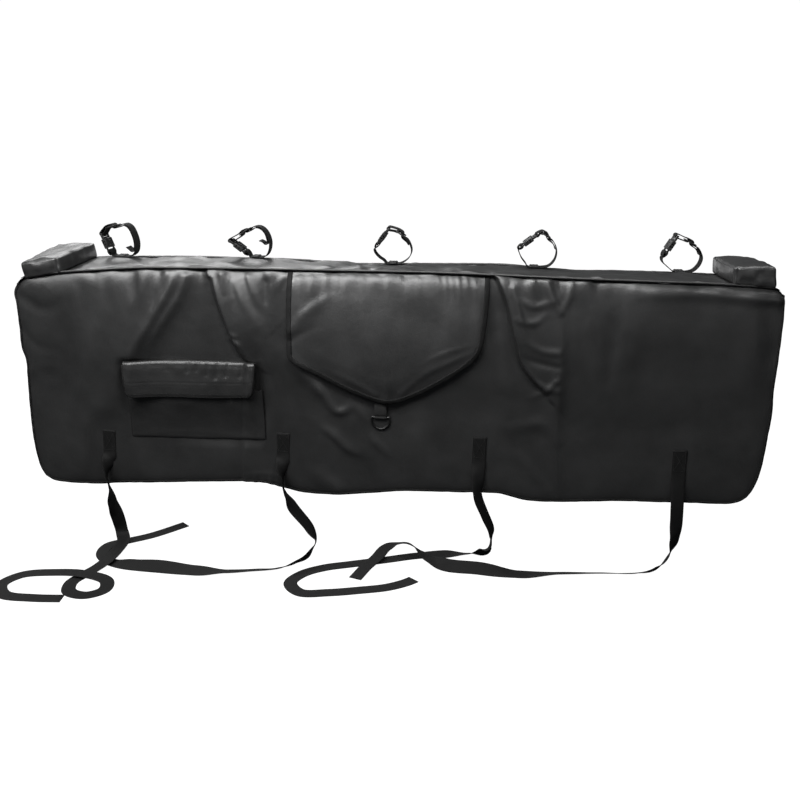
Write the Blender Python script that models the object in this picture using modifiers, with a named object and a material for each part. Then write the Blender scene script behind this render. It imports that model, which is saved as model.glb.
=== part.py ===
"""Tailgate bike pad: a padded saddle cover that hangs over a pickup tailgate.

Frame: +X along the tailgate, the front panel faces -Y, +Z up.  The origin is on the
underside of the top panel, midway between the two hanging panels, where the pad sits
on the tailgate's top edge.  Metres throughout.
"""
import math

import bmesh
import bpy
from mathutils import Matrix, Vector

# ------------------------------------------------------------------ driving dimensions
WIDTH = 1.372            # along the tailgate (54 in)
DEPTH = 0.150            # over both hanging panels
FRONT_DROP = 0.405       # seat to front hem
REAR_DROP = 0.300        # seat to rear hem
CORNER_R = 0.045         # lower corners of both panels
COVER_T = 0.0012         # coated fabric
FOAM_T = 0.0100
LINING_T = 0.0010
GAP = 0.0003             # air between neighbouring pieces
PANEL_T = COVER_T + FOAM_T + LINING_T + 2 * GAP      # 12.8 mm padded panel
WELT_R = 0.0018          # piping cord along the top seams
BIND_LEG = 0.009         # binding tape on each face
BIND_T = 0.0010
WEB_W = 0.0254           # one inch webbing
WEB_T = 0.0015
FLOOR_Z = -0.5422        # where the loose strap ends lie

WINDOW = (-0.135, 0.135, -0.125, -0.025)             # x0, x1, z0, z1 behind the flap
FLAP_HALF = 0.180
FLAP_TOP = 0.004
FLAP_SIDE = -0.128       # lower end of the flap's straight sides
FLAP_TIP = -0.2195
FLAP_Y = -0.0745         # back face of the flap, proud of the cover

POCKET = (-0.491, -0.232, -0.312, -0.166)            # x0, x1, z0, z1
POCKET_D = 0.0145
BOLSTER = (0.0676, 0.152, 0.030)                     # x, y, z
BOLSTER_X = 0.628
LOOP_X = (-0.534, -0.267, 0.0, 0.267, 0.534)
LOOP_Y = 0.055
RING_X = -0.007
RING_Z = -0.2540         # the ring's straight bar
RING_Y = -0.0788         # axis of the bar, clear in front of the cover
STRAP_LENGTH = 0.92
REAR_STRAP_X = (-0.537, -0.195, 0.178, 0.542)

FRONT_Y = -DEPTH / 2     # outer face of the front cover
INNER_Y = DEPTH / 2 - PANEL_T                        # inner faces of the channel
TOP_Z = PANEL_T          # outer face of the top cover

# ------------------------------------------------------------------ scene and materials
for old in list(bpy.data.objects):
    bpy.data.objects.remove(old, do_unlink=True)


def collection(name):
    c = bpy.data.collections.new(name)
    bpy.context.scene.collection.children.link(c)
    return c


PARTS = collection("tailgate_bike_pad")
CUTTERS = collection("cutters")


def material(name, colour, roughness, metallic=0.0):
    m = bpy.data.materials.new(name)
    m.use_nodes = True
    b = m.node_tree.nodes["Principled BSDF"]
    b.inputs["Base Color"].default_value = (*colour, 1.0)
    b.inputs["Roughness"].default_value = roughness
    b.inputs["Metallic"].default_value = metallic
    return m


LOOKS = {
    "vinyl": ((0.035, 0.035, 0.037), 0.42, 0.0),
    "foam": ((0.12, 0.12, 0.12), 0.9, 0.0),
    "lining": ((0.05, 0.05, 0.052), 0.85, 0.0),
    "binding": ((0.02, 0.02, 0.021), 0.6, 0.0),
    "webbing": ((0.022, 0.022, 0.024), 0.7, 0.0),
    "buckle": ((0.03, 0.03, 0.032), 0.38, 0.0),
    "ring": ((0.16, 0.16, 0.165), 0.35, 0.9),
    "hook_loop": ((0.03, 0.03, 0.03), 0.95, 0.0),
}


def finish(ob, name, look, smooth=None):
    """Name the piece, give it its own material and put it with the parts."""
    ob.name = name
    ob.data.name = name
    ob.data.materials.clear()
    ob.data.materials.append(material(name, *LOOKS[look]))
    if smooth is not None:
        ob.data.shade_smooth()
        ob.data.set_sharp_from_angle(angle=math.radians(smooth))
    if ob.name not in PARTS.objects:
        for c in list(ob.users_collection):
            c.objects.unlink(ob)
        PARTS.objects.link(ob)
    return ob


# ------------------------------------------------------------------ modelling helpers
AXES = {
    # outline (u, v) and thickness direction for each drawing plane
    "XZ": Matrix(((1, 0, 0), (0, 0, -1), (0, 1, 0))).to_4x4(),   # u=X, v=Z, thick=Y
    "YZ": Matrix(((0, 0, 1), (1, 0, 0), (0, 1, 0))).to_4x4(),    # u=Y, v=Z, thick=X
    "XY": Matrix.Identity(4),                                    # u=X, v=Y, thick=Z
}


def mesh_object(curve_ob):
    """Make a closed, welded mesh object from a curve object."""
    dg = bpy.context.evaluated_depsgraph_get()
    dg.update()
    me = bpy.data.meshes.new_from_object(curve_ob.evaluated_get(dg))
    bm = bmesh.new()
    bm.from_mesh(me)
    bmesh.ops.remove_doubles(bm, verts=bm.verts, dist=1e-6)
    bmesh.ops.recalc_face_normals(bm, faces=bm.faces)
    bm.to_mesh(me)
    bm.free()
    ob = bpy.data.objects.new(curve_ob.name + "_mesh", me)
    PARTS.objects.link(ob)
    ob.matrix_world = curve_ob.matrix_world
    old = curve_ob.data
    bpy.data.objects.remove(curve_ob)
    bpy.data.curves.remove(old)
    return ob


def plate(loops, lo, hi, plane, matrix=None):
    """A flat outline (with holes) of the thickness lo..hi across its plane."""
    cu = bpy.data.curves.new("outline", "CURVE")
    cu.dimensions = "2D"
    cu.fill_mode = "BOTH"
    cu.extrude = (hi - lo) / 2
    for loop in loops:
        sp = cu.splines.new("POLY")
        sp.points.add(len(loop) - 1)
        for p, (u, v) in zip(sp.points, loop):
            p.co = (u, v, 0.0, 1.0)
        sp.use_cyclic_u = True
    ob = bpy.data.objects.new("outline", cu)
    PARTS.objects.link(ob)
    mid = (lo + hi) / 2
    shift = {"XZ": Vector((0, mid, 0)), "YZ": Vector((mid, 0, 0)), "XY": Vector((0, 0, mid))}[plane]
    m = Matrix.Translation(shift) @ AXES[plane]
    ob.matrix_world = (matrix @ m) if matrix is not None else m
    bpy.context.view_layer.update()
    return mesh_object(ob)


def rod(points, radius, cyclic=False, resolution=2):
    """A round cord or wire along points."""
    cu = bpy.data.curves.new("wire", "CURVE")
    cu.dimensions = "3D"
    cu.bevel_depth = radius
    cu.bevel_resolution = resolution
    cu.use_fill_caps = True
    sp = cu.splines.new("POLY")
    sp.points.add(len(points) - 1)
    for p, co in zip(sp.points, points):
        p.co = (*co, 1.0)
    sp.use_cyclic_u = cyclic
    ob = bpy.data.objects.new("wire", cu)
    PARTS.objects.link(ob)
    bpy.context.view_layer.update()
    return mesh_object(ob)


def box(lo, hi, bevel=0.0, segments=2):
    bm = bmesh.new()
    bmesh.ops.create_cube(bm, size=1.0)
    size = [b - a for a, b in zip(lo, hi)]
    mid = [(a + b) / 2 for a, b in zip(lo, hi)]
    bmesh.ops.scale(bm, vec=size, verts=bm.verts)
    bmesh.ops.translate(bm, vec=mid, verts=bm.verts)
    me = bpy.data.meshes.new("box")
    bm.to_mesh(me)
    bm.free()
    ob = bpy.data.objects.new("box", me)
    PARTS.objects.link(ob)
    if bevel:
        md = ob.modifiers.new("bevel", "BEVEL")
        md.width = bevel
        md.segments = segments
        md.limit_method = "ANGLE"
    return ob


def cut(ob, cutters, operation="DIFFERENCE"):
    """Boolean each cutter with ob and apply, keeping the cutters aside."""
    for c in cutters:
        for coll in list(c.users_collection):
            coll.objects.unlink(c)
        CUTTERS.objects.link(c)
        c.name = "cutter"
        c.hide_render = True
        c.display_type = "WIRE"
        md = ob.modifiers.new("cut", "BOOLEAN")
        md.operation = operation
        md.solver = "EXACT"
        md.object = c
    bpy.context.view_layer.update()
    dg = bpy.context.evaluated_depsgraph_get()
    dg.update()
    me = bpy.data.meshes.new_from_object(ob.evaluated_get(dg))
    bm = bmesh.new()
    bm.from_mesh(me)
    bmesh.ops.remove_doubles(bm, verts=bm.verts, dist=1e-6)
    bm.to_mesh(me)
    bm.free()
    ob.modifiers.clear()
    ob.data = me
    for c in cutters:
        old = c.data
        bpy.data.objects.remove(c)
        if old.users == 0:
            bpy.data.meshes.remove(old)
    return ob


def arc(cx, cy, r, a0, a1, n):
    return [(cx + r * math.cos(math.radians(a0 + (a1 - a0) * k / n)),
             cy + r * math.sin(math.radians(a0 + (a1 - a0) * k / n))) for k in range(n + 1)]


def panel_outline(half, top, bottom, r, n=6):
    """A hanging panel: square top, round lower corners."""
    return ([(-half, top)] + arc(-half + r, bottom + r, r, 180, 270, n)
            + arc(half - r, bottom + r, r, 270, 360, n) + [(half, top)])


def band_outline(half, top, bottom, r, leg, n=6):
    """The U-shaped strip just inside a panel's sides and hem."""
    return panel_outline(half, top, bottom, r, n) + list(reversed(
        panel_outline(half - leg, top, bottom + leg, r - leg, n)))


def rounded_rect(x0, x1, z0, z1, r, n=4):
    return (arc(x1 - r, z0 + r, r, 270, 360, n) + arc(x1 - r, z1 - r, r, 0, 90, n)
            + arc(x0 + r, z1 - r, r, 90, 180, n) + arc(x0 + r, z0 + r, r, 180, 270, n))


def spline(points, step):
    """Centripetal Catmull-Rom through 2-D or 3-D points, sampled densely."""
    pts = [Vector(p) for p in points]
    ext = [2 * pts[0] - pts[1]] + pts + [2 * pts[-1] - pts[-2]]
    out = []
    for i in range(1, len(ext) - 2):
        p0, p1, p2, p3 = ext[i - 1:i + 3]
        t1 = (p1 - p0).length ** 0.5
        t2 = t1 + (p2 - p1).length ** 0.5
        t3 = t2 + (p3 - p2).length ** 0.5
        n = max(2, int((p2 - p1).length / step))
        for k in range(n):
            t = t1 + (t2 - t1) * k / n
            a1 = p0 * ((t1 - t) / t1) + p1 * (t / t1)
            a2 = p1 * ((t2 - t) / (t2 - t1)) + p2 * ((t - t1) / (t2 - t1))
            a3 = p2 * ((t3 - t) / (t3 - t2)) + p3 * ((t - t2) / (t3 - t2))
            b1 = a1 * ((t2 - t) / t2) + a2 * (t / t2)
            b2 = a2 * ((t3 - t) / (t3 - t1)) + a3 * ((t - t1) / (t3 - t1))
            out.append(b1 * ((t2 - t) / (t2 - t1)) + b2 * ((t - t1) / (t2 - t1)))
    out.append(pts[-1])
    return out


def thin_out(points, tol):
    """Drop points that lie within tol of the chord (Ramer-Douglas-Peucker)."""
    keep = {0, len(points) - 1}
    stack = [(0, len(points) - 1)]
    while stack:
        a, b = stack.pop()
        if b <= a + 1:
            continue
        pa, pb = points[a], points[b]
        d = pb - pa
        best, at = 0.0, None
        for k in range(a + 1, b):
            w = points[k] - pa
            t = max(0.0, min(1.0, w.dot(d) / d.length_squared)) if d.length_squared else 0.0
            e = (w - d * t).length
            if e > best:
                best, at = e, k
        if best > tol:
            keep.add(at)
            stack += [(a, at), (at, b)]
    return sorted(keep)


def bent_webbing(centre, y, tol=0.00014):
    """Frames of a strip of webbing bent in the X-Z plane, its width along Y."""
    out = []
    for k in thin_out(centre, tol):
        a = centre[max(0, k - 1)]
        b = centre[min(len(centre) - 1, k + 1)]
        d = (b - a).normalized()
        out.append((Vector((centre[k].x, y, centre[k].y)), Vector((0, 1, 0)), Vector((-d.y, 0, d.x))))
    return out


def ribbon(frames, width, thickness):
    """A flat strip lofted along twisting frames."""
    bm = bmesh.new()
    rings = []
    for p, w, n in frames:
        rings.append([bm.verts.new(p + w * a * width / 2 + n * b * thickness / 2)
                      for a, b in ((-1, -1), (1, -1), (1, 1), (-1, 1))])
    for r0, r1 in zip(rings, rings[1:]):
        for k in range(4):
            bm.faces.new((r0[k], r0[(k + 1) % 4], r1[(k + 1) % 4], r1[k]))
    bm.faces.new(rings[0][::-1])
    bm.faces.new(rings[-1])
    bmesh.ops.recalc_face_normals(bm, faces=bm.faces)
    me = bpy.data.meshes.new("ribbon")
    bm.to_mesh(me)
    bm.free()
    ob = bpy.data.objects.new("ribbon", me)
    PARTS.objects.link(ob)
    return ob


# ------------------------------------------------------------------ padded panels
half = WIDTH / 2
side = half - 0.0015                     # the layers stop inside the edge binding
front_bottom = -FRONT_DROP + 0.0015
rear_bottom = -REAR_DROP + 0.0015
inner_r = CORNER_R - 0.0015


def hanging_panel(tag, sign, bottom, window):
    """Cover and foam of one hanging panel; sign is -1 in front and +1 behind."""
    holes = [rounded_rect(*WINDOW, 0.015)] if window else []
    outer = sign * DEPTH / 2
    y_cov = sorted((outer, outer - sign * COVER_T))
    y_foam = sorted((outer - sign * (COVER_T + GAP), outer - sign * (COVER_T + GAP + FOAM_T)))
    cover_top = TOP_Z - 0.0016 - 0.0021 - GAP
    cov = plate([panel_outline(side, cover_top, bottom, inner_r)] + holes, *y_cov, "XZ")
    finish(cov, tag + "_cover", "vinyl")
    foam = plate([panel_outline(side, 0.0010, bottom, inner_r)] + holes, *y_foam, "XZ")
    finish(foam, tag + "_foam", "foam")


hanging_panel("front", -1, front_bottom, True)
hanging_panel("rear", +1, rear_bottom, False)

# Top cover: a sheet whose two end edges turn down over the foam.
lip = TOP_Z - 0.0005
profile = [(-half, 0.0003), (-half + COVER_T, 0.0003), (-half + COVER_T, TOP_Z - COVER_T),
           (half - COVER_T, TOP_Z - COVER_T), (half - COVER_T, 0.0003), (half, 0.0003),
           (half, TOP_Z - 0.003), (half - 0.0012, TOP_Z - 0.0009), (half - 0.003, TOP_Z),
           (-half + 0.003, TOP_Z), (-half + 0.0012, TOP_Z - 0.0009), (-half, TOP_Z - 0.003)]
top_y = DEPTH / 2 - 0.0016 - 0.0018 - 0.0003
finish(plate([profile], -top_y, top_y, "XZ"), "top_cover", "vinyl")
foam_x = half - COVER_T - GAP
foam_y = DEPTH / 2 - COVER_T - GAP - 0.0002
foam_z = (0.0010 + GAP, 0.0010 + GAP + FOAM_T)
slab = [(-foam_y, foam_z[0]), (foam_y, foam_z[0]), (foam_y, 0.0080), (foam_y - 0.0027, foam_z[1]),
        (-foam_y + 0.0027, foam_z[1]), (-foam_y, 0.0080)]     # its long edges clear the piping
finish(plate([slab], -foam_x, foam_x, "YZ"), "top_foam", "foam")

# Lining: one sheet folded down both inner faces, open at the hems.
out_y = INNER_Y + LINING_T
r_in, r_out = 0.006, 0.007
u_profile = ([(-out_y, front_bottom)] + arc(-out_y + r_out, LINING_T - r_out, r_out, 180, 90, 4)
             + arc(out_y - r_out, LINING_T - r_out, r_out, 90, 0, 4) + [(out_y, rear_bottom)]
             + [(INNER_Y, rear_bottom)] + arc(INNER_Y - r_in, -r_in, r_in, 0, 90, 4)
             + arc(-INNER_Y + r_in, -r_in, r_in, 90, 180, 4) + [(-INNER_Y, front_bottom)])
lining = plate([u_profile], -side, side, "YZ")


def corner_cutter(sx, bottom, y0, y1):
    """What lies outside a round lower corner."""
    c = Vector((sx * (side - inner_r), bottom + inner_r))
    quarter = arc(c.x, c.y, inner_r, 270, 360 if sx > 0 else 180, 6)
    outer = [(sx * (side + 0.01), bottom + inner_r), (sx * (side + 0.01), bottom - 0.01),
             (c.x, bottom - 0.01)]
    return plate([quarter + outer], y0, y1, "XZ")


cut(lining, [corner_cutter(sx, front_bottom, -out_y - 0.004, -INNER_Y + 0.004) for sx in (-1, 1)]
    + [corner_cutter(sx, rear_bottom, INNER_Y - 0.004, out_y + 0.004) for sx in (-1, 1)]
    + [plate([rounded_rect(*WINDOW, 0.015)], -out_y - 0.004, -INNER_Y + 0.004, "XZ")])
finish(lining, "lining", "lining")

# Piping cord in both top seams.
for tag, sign in (("front", -1), ("rear", 1)):
    y = sign * (DEPTH / 2 - 0.0016)
    z = TOP_Z - 0.0016
    finish(rod([(-half + 0.002, y, z), (0, y, z), (half - 0.002, y, z)], WELT_R),
           tag + "_welt", "binding", 40)


def folded_tape(band, core, y0, y1, tag):
    """Binding tape folded round an edge: band outline minus the layers it holds."""
    body = plate([band], y0 - GAP - BIND_T, y1 + GAP + BIND_T, "XZ")
    core_ob = plate([core], y0 - GAP, y1 + GAP, "XZ")
    cut(body, [core_ob])
    return finish(body, tag, "binding")


for tag, sign, bottom in (("front", -1, front_bottom), ("rear", 1, rear_bottom)):
    y0, y1 = sorted((sign * DEPTH / 2, sign * INNER_Y))
    top = -0.0080
    folded_tape(band_outline(half, top, bottom - 0.0015, CORNER_R, BIND_LEG),
                panel_outline(side + GAP, top + 0.01, bottom - GAP, inner_r + GAP), y0, y1,
                tag + "_binding")

# Binding round the window behind the flap.
x0, x1, z0, z1 = WINDOW
ring = plate([rounded_rect(x0 - 0.007, x1 + 0.007, z0 - 0.007, z1 + 0.007, 0.022),
              rounded_rect(x0 + 0.0015, x1 - 0.0015, z0 + 0.0015, z1 - 0.0015, 0.0135)],
             FRONT_Y - GAP - BIND_T, -INNER_Y + GAP + BIND_T, "XZ")
core = plate([rounded_rect(x0 - 0.03, x1 + 0.03, z0 - 0.03, z1 + 0.02, 0.022),
              rounded_rect(x0 + GAP, x1 - GAP, z0 + GAP, z1 - GAP, 0.0147)],
             FRONT_Y - GAP, -INNER_Y + GAP, "XZ")
cut(ring, [core])
finish(ring, "window_binding", "binding")

# ------------------------------------------------------------------ end bolsters
bx, by, bz = BOLSTER
for tag, sx in (("left", -1), ("right", 1)):
    ob = box((sx * BOLSTER_X - bx / 2, -by / 2 - 0.002, TOP_Z + GAP),
             (sx * BOLSTER_X + bx / 2, by / 2 - 0.002, TOP_Z + GAP + bz), 0.006, 2)
    finish(ob, tag + "_bolster", "vinyl")

# ------------------------------------------------------------------ flap over the window
fy0, fy1 = FLAP_Y - 0.0045 - 0.0016, FLAP_Y - 0.0045


def flap_outline(inset, top):
    """Five-sided flap with a blunt tip, inset inwards by the given amount."""
    s = FLAP_HALF - inset
    slope = math.atan2(FLAP_SIDE - FLAP_TIP, FLAP_HALF - 0.010)
    drop = inset / math.cos(slope)
    tip = FLAP_TIP + inset
    side_z = FLAP_SIDE + drop - inset * math.tan(slope)
    blunt = (tip - (FLAP_TIP + drop)) / math.tan(slope) + 0.010
    side_l = [(-s, top), (-s, side_z + 0.012), (-s + 0.0025, side_z + 0.004), (-s + 0.009, side_z - 0.0035)]
    return side_l + [(-blunt, tip), (blunt, tip)] + [(-x, z) for x, z in reversed(side_l)]


flap = plate([flap_outline(0.0012, FLAP_TOP)], fy0, fy1, "XZ")
finish(flap, "camera_flap", "vinyl")
tape = plate([flap_outline(0.0, FLAP_TOP - 0.001) + list(reversed(flap_outline(0.0088, FLAP_TOP - 0.001)))],
             fy0 - GAP - 0.0008, fy1 + GAP + 0.0008, "XZ")
cut(tape, [plate([flap_outline(0.0012 - GAP, FLAP_TOP + 0.01)], fy0 - GAP, fy1 + GAP, "XZ")])
finish(tape, "flap_binding", "binding")

# Webbing tab sewn behind the flap's tip, folded round the ring's straight bar.
wire_r = 0.00175
loop_in = wire_r + 0.0004
loop_out = loop_in + 0.0012
tab_top = FLAP_TIP + 0.016
tab_y0 = fy1 + GAP + 0.0008 + GAP
tab_y1 = tab_y0 + 0.0024


def tear_tab(yc, zc, y_lo, y_hi, top, r_out, r_in, width, x_mid):
    """A folded webbing tab: flat double layer above, a round eye below."""
    y_mid = (y_lo + y_hi) / 2
    a = 35
    outer = ([(y_lo, top), (y_lo, zc + 2.3 * r_out)]
             + arc(yc, zc, r_out, 180 - a, 360 + a, 12)
             + [(y_hi, zc + 2.3 * r_out), (y_hi, top)])
    inner = arc(yc, zc, r_in, 0, 360, 12)[:-1]
    return plate([outer, inner], x_mid - width / 2, x_mid + width / 2, "YZ")


ring_y = RING_Y
finish(tear_tab(ring_y, RING_Z, tab_y0, tab_y1, tab_top, loop_out, loop_in, 0.023, RING_X),
       "flap_tab", "webbing", 40)

# D-ring: straight bar through the tab's eye, round bow below; it swings about the bar.
rw, rh, rc = 0.0165, 0.0225, 0.012
d_path = [(RING_X - rw, ring_y, RING_Z), (RING_X, ring_y, RING_Z), (RING_X + rw, ring_y, RING_Z)]
bow = arc(0, 0, 1.0, 0, -180, 14)
d_path += [(RING_X + rw, ring_y, RING_Z - 0.004)]
d_path += [(RING_X + rw * c, ring_y, RING_Z - 0.006 + (rh - 0.006) * s) for c, s in bow]
d_path += [(RING_X - rw, ring_y, RING_Z - 0.004)]
finish(rod(d_path, wire_r, cyclic=True, resolution=1), "d_ring", "ring", 50)

# ------------------------------------------------------------------ pocket
px0, px1, pz0, pz1 = POCKET
y_back = FRONT_Y - GAP
y_face = y_back - POCKET_D
bag = box((px0, y_face, pz0), (px1, y_back, pz1), 0.0)
cut(bag, [box((px0 + 0.0014, y_face + 0.0014, pz0 + 0.0014), (px1 - 0.0014, y_back + 0.01, pz1 + 0.01))])
finish(bag, "pocket_bag", "vinyl")
strip = (px0 + 0.012, px1 - 0.012)
finish(box((strip[0], y_face - GAP - 0.0011, -0.212), (strip[1], y_face - GAP, -0.192)),
       "loop_strip", "hook_loop")
finish(box((strip[0], y_face - 2 * GAP - 0.0022, -0.212), (strip[1], y_face - 2 * GAP - 0.0011, -0.192)),
       "hook_strip", "hook_loop")
fy = y_face - 3 * GAP - 0.0022                       # inner face of the pocket flap
ft = 0.0016
lid = [(y_back, -0.1395), (y_back - ft, -0.1395), (y_back - ft - 0.004, -0.1500), (fy - ft + 0.004, -0.1575),
       (fy - ft, -0.1635), (fy - ft, -0.227), (fy, -0.227), (fy, -0.1645), (fy + 0.003, -0.1595),
       (y_back - ft - 0.002, -0.1530), (y_back, -0.1440)]
finish(plate([lid], px0 - 0.001, px1 + 0.001, "YZ"), "pocket_flap", "vinyl")

# ------------------------------------------------------------------ frame-strap hardware
# Local axes of a buckle: u along the strap, w across it, v through its thickness.


def uw_plate(loops, v0, v1):
    return plate(loops, v0, v1, "XY")


def rect(u0, u1, w0, w1):
    return [(u0, w0), (u1, w0), (u1, w1), (u0, w1)]


def make_socket():
    body = box((0, -0.0160, -0.0043), (0.0270, 0.0160, 0.0043), 0.0010, 1)
    mouth = box((0.0100, -0.0134, -0.0024), (0.0290, 0.0134, 0.0024))
    windows = box((0.0140, -0.0175, -0.0022), (0.0220, 0.0175, 0.0022))
    slot = box((0.0032, -0.0134, -0.01), (0.0085, 0.0134, 0.01))
    thin = [box((-0.001, -0.0170, 0.0016), (0.0080, 0.0170, 0.01)),
            box((-0.001, -0.0170, -0.01), (0.0080, 0.0170, -0.0016))]
    return cut(body, [mouth, windows, slot] + thin)


def make_plug():
    outline = [(0.0388, -0.0155), (0.0388, 0.0155), (0.0273, 0.0155), (0.0273, 0.0125), (0.0205, 0.0125),
               (0.0200, 0.0150), (0.0155, 0.0150), (0.0125, 0.0115), (0.0125, 0.0085), (0.0273, 0.0085),
               (0.0273, 0.0025), (0.0120, 0.0025), (0.0120, -0.0025), (0.0273, -0.0025),
               (0.0273, -0.0085), (0.0125, -0.0085), (0.0125, -0.0115), (0.0155, -0.0150),
               (0.0200, -0.0150), (0.0205, -0.0125), (0.0273, -0.0125), (0.0273, -0.0155)]
    return uw_plate([outline, rect(0.0303, 0.0360, -0.0131, 0.0131)], -0.0019, 0.0019)


def make_slider():
    return uw_plate([rect(-0.0100, 0.0100, -0.0155, 0.0155), rect(-0.0076, -0.0016, -0.0131, 0.0131),
                     rect(0.0010, 0.0076, -0.0131, 0.0131)], -0.0012, 0.0012)


socket_mesh, plug_mesh, slider_mesh = (f() for f in (make_socket, make_plug, make_slider))


def place(template, name, look, base_x, origin, direction):
    """Put a copy of a buckle piece at origin (local x, z) with its u axis along direction."""
    ob = bpy.data.objects.new(name, template.data.copy())
    PARTS.objects.link(ob)
    u = Vector((direction[0], 0, direction[1])).normalized()
    w = Vector((0, 1, 0))
    v = u.cross(w)
    m = Matrix((u, w, v)).transposed().to_4x4()
    m.translation = Vector((base_x + origin[0], LOOP_Y, TOP_Z + GAP + origin[1]))
    ob.matrix_world = m
    return finish(ob, name, look)


# Each loop, in mm from its sewn base (x along the pad, z up): the socket's tail and the
# direction of its axis, the slider's middle and direction, and the strap's way round.
LOOPS = [
    dict(socket=(-20.0, 10.0), axis=(-0.36, 0.93), slider=(-13.5, 59.0), slide=(0.97, 0.25),
         way=[(3, 63.5), (14, 64), (23.5, 58), (30.5, 43), (33.5, 26), (30.5, 11), (22.5, 3)],
         curl=[(29.0, 12.5), (24.5, 11.5), (19.5, 15.5), (14, 20)], tail=0.84),
    dict(socket=(-16.0, 9.5), axis=(-0.80, 0.60), slider=(-18.0, 49.0), slide=(0.80, 0.60), foot=-7.5,
         way=[(-4, 57.5), (7, 60), (18, 56), (27, 44), (31, 28), (28, 12), (21, 3)],
         curl=[(26.5, 27.0), (22.0, 26.5), (17.5, 30.5), (11, 33)], tail=0.52),
    dict(socket=(-29.0, 36.5), axis=(0.58, 0.81), slider=(15.5, 57.5), slide=(0.82, -0.57),
         way=[(27, 47.5), (33.5, 37), (36, 26), (32.5, 15), (24, 6.5)], curl=[], tail=0.35),
    dict(socket=(-27.0, 38.5), axis=(0.79, 0.61), slider=(18.5, 61.0), slide=(0.86, -0.50),
         way=[(28, 55), (37, 43), (40, 30), (37, 16), (27, 4.5)], curl=[], tail=0.45),
    dict(socket=(-30.0, 35.0), axis=(0.50, 0.87), slider=(14.0, 56.0), slide=(0.90, -0.44),
         way=[(24, 50), (33, 39.5), (37, 28), (33.5, 15), (24, 4.5)], curl=[], tail=0.45),
]


def turned(bar, e, r):
    """Round a bar and back towards e: the outer side first, the inner side last."""
    n = Vector((-e.y, e.x))
    return [bar + (e * math.cos(a) + n * math.sin(a)) * r
            for a in (math.radians(d) for d in (90, 120, 150, 180, 210, 240, 270))]


def loop_path(spec):
    """Centre line of one frame strap: sewn return, socket bar, base, right side, slider,
    plug bar, slider again and free tail."""
    zc = WEB_T / 2 + 0.0006
    S = Vector(spec["socket"]) / 1000
    su = Vector(spec["axis"]).normalized()
    sn = Vector((-su.y, su.x))                       # outward side of the buckle
    L = Vector(spec["slider"]) / 1000
    lu = Vector(spec["slide"]).normalized()
    ln = Vector((-lu.y, lu.x))                       # outward side of the slider
    bar = S + su * 0.0016                            # socket's tail bar
    pbar = S + su * 0.0374                           # plug's strap bar
    # Leg from the base up to the socket, round its bar and back a little way.
    leg = [Vector((0.0125, zc)), Vector((0.004, zc)), Vector((-0.0035, zc)),
           Vector((spec.get("foot", -11.5) / 1000, zc))]
    leg += [Vector(p) / 1000 for p in spec["left"]]
    leg += [bar - su * 0.0080 - sn * 0.0011, bar - su * 0.0040 - sn * 0.0028]
    leg += turned(bar, -su, 0.0034) + [bar - su * 0.0040 + sn * 0.0028, bar - su * 0.0080 + sn * 0.0011]
    # Right side, up to the slider and over its middle bar.
    way = [Vector(p) / 1000 for p in spec["way"]]
    near = L + lu * 0.0145 - ln * 0.0016
    way = [p for p in way if (p - near).length > 0.005]
    main = way[::-1]
    main += [near] + [L + lu * a + ln * b for a, b in (
        (0.0105, -0.0025), (0.0070, -0.0023), (0.0046, 0.0004), (0.0034, 0.0032), (0.0, 0.0046),
        (-0.0055, 0.0044), (-0.0100, 0.0036))]
    # Round the plug's bar and back through the slider.
    e = (L - lu * 0.010 - pbar).normalized()
    main += turned(pbar, e, 0.0035)
    main += [L + lu * a + ln * b for a, b in (
        (-0.0104, -0.0026), (-0.0072, -0.0022), (-0.0048, 0.0), (-0.0029, 0.0023), (-0.0003, 0.00275),
        (0.0021, 0.0019), (0.0023, 0.0), (0.0032, -0.0026), (0.0056, -0.0044), (0.0090, -0.0050))]
    # The free tail lies along the inside of the right side.
    dense = spline([tuple(p) for p in [near] + way], 0.0015)
    tail = []
    for k in range(3, int(len(dense) * spec["tail"]), 4):
        d = (dense[min(k + 1, len(dense) - 1)] - dense[k - 1]).normalized()
        tail.append(dense[k] + Vector((d.y, -d.x)) * 0.0026)
    tail += [Vector(p) / 1000 for p in spec["curl"]]
    return leg[::-1] + main + tail


LEFTS = [
    [],
    [],
    [(-16.0, 6.5), (-25.5, 13.0), (-33.5, 22.0), (-35.0, 29.0)],
    [(-17.0, 9.0), (-25.0, 19.0), (-29.5, 29.0)],
    [(-14.0, 3.5), (-24.0, 11.5), (-33.5, 20.5), (-34.5, 28.0)],
]

for k, spec in enumerate(LOOPS):
    spec["left"] = LEFTS[k]
    centre = spline([tuple(p) for p in loop_path(spec)], 0.0004)
    shift = Vector((LOOP_X[k], 0, TOP_Z + GAP))
    strap = ribbon([(p + shift, w, n) for p, w, n in bent_webbing(centre, LOOP_Y)], WEB_W, WEB_T)
    finish(strap, "frame_strap_%d" % (k + 1), "webbing", 40)
    place(socket_mesh, "buckle_socket_%d" % (k + 1), "buckle", LOOP_X[k],
          Vector(spec["socket"]) / 1000, spec["axis"])
    place(plug_mesh, "buckle_plug_%d" % (k + 1), "buckle", LOOP_X[k],
          Vector(spec["socket"]) / 1000, spec["axis"])
    place(slider_mesh, "strap_slider_%d" % (k + 1), "buckle", LOOP_X[k],
          Vector(spec["slider"]) / 1000, spec["slide"])
    z0 = TOP_Z + GAP + 0.0006 + WEB_T + GAP
    reach = 0.0055 if k == 1 else 0.0085
    finish(box((LOOP_X[k] - reach, LOOP_Y - 0.0150, z0), (LOOP_X[k] + 0.0085, LOOP_Y + 0.0150, z0 + 0.0014)),
           "keeper_%d" % (k + 1), "webbing")

for t in (socket_mesh, plug_mesh, slider_mesh):
    bpy.data.objects.remove(t)

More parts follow.
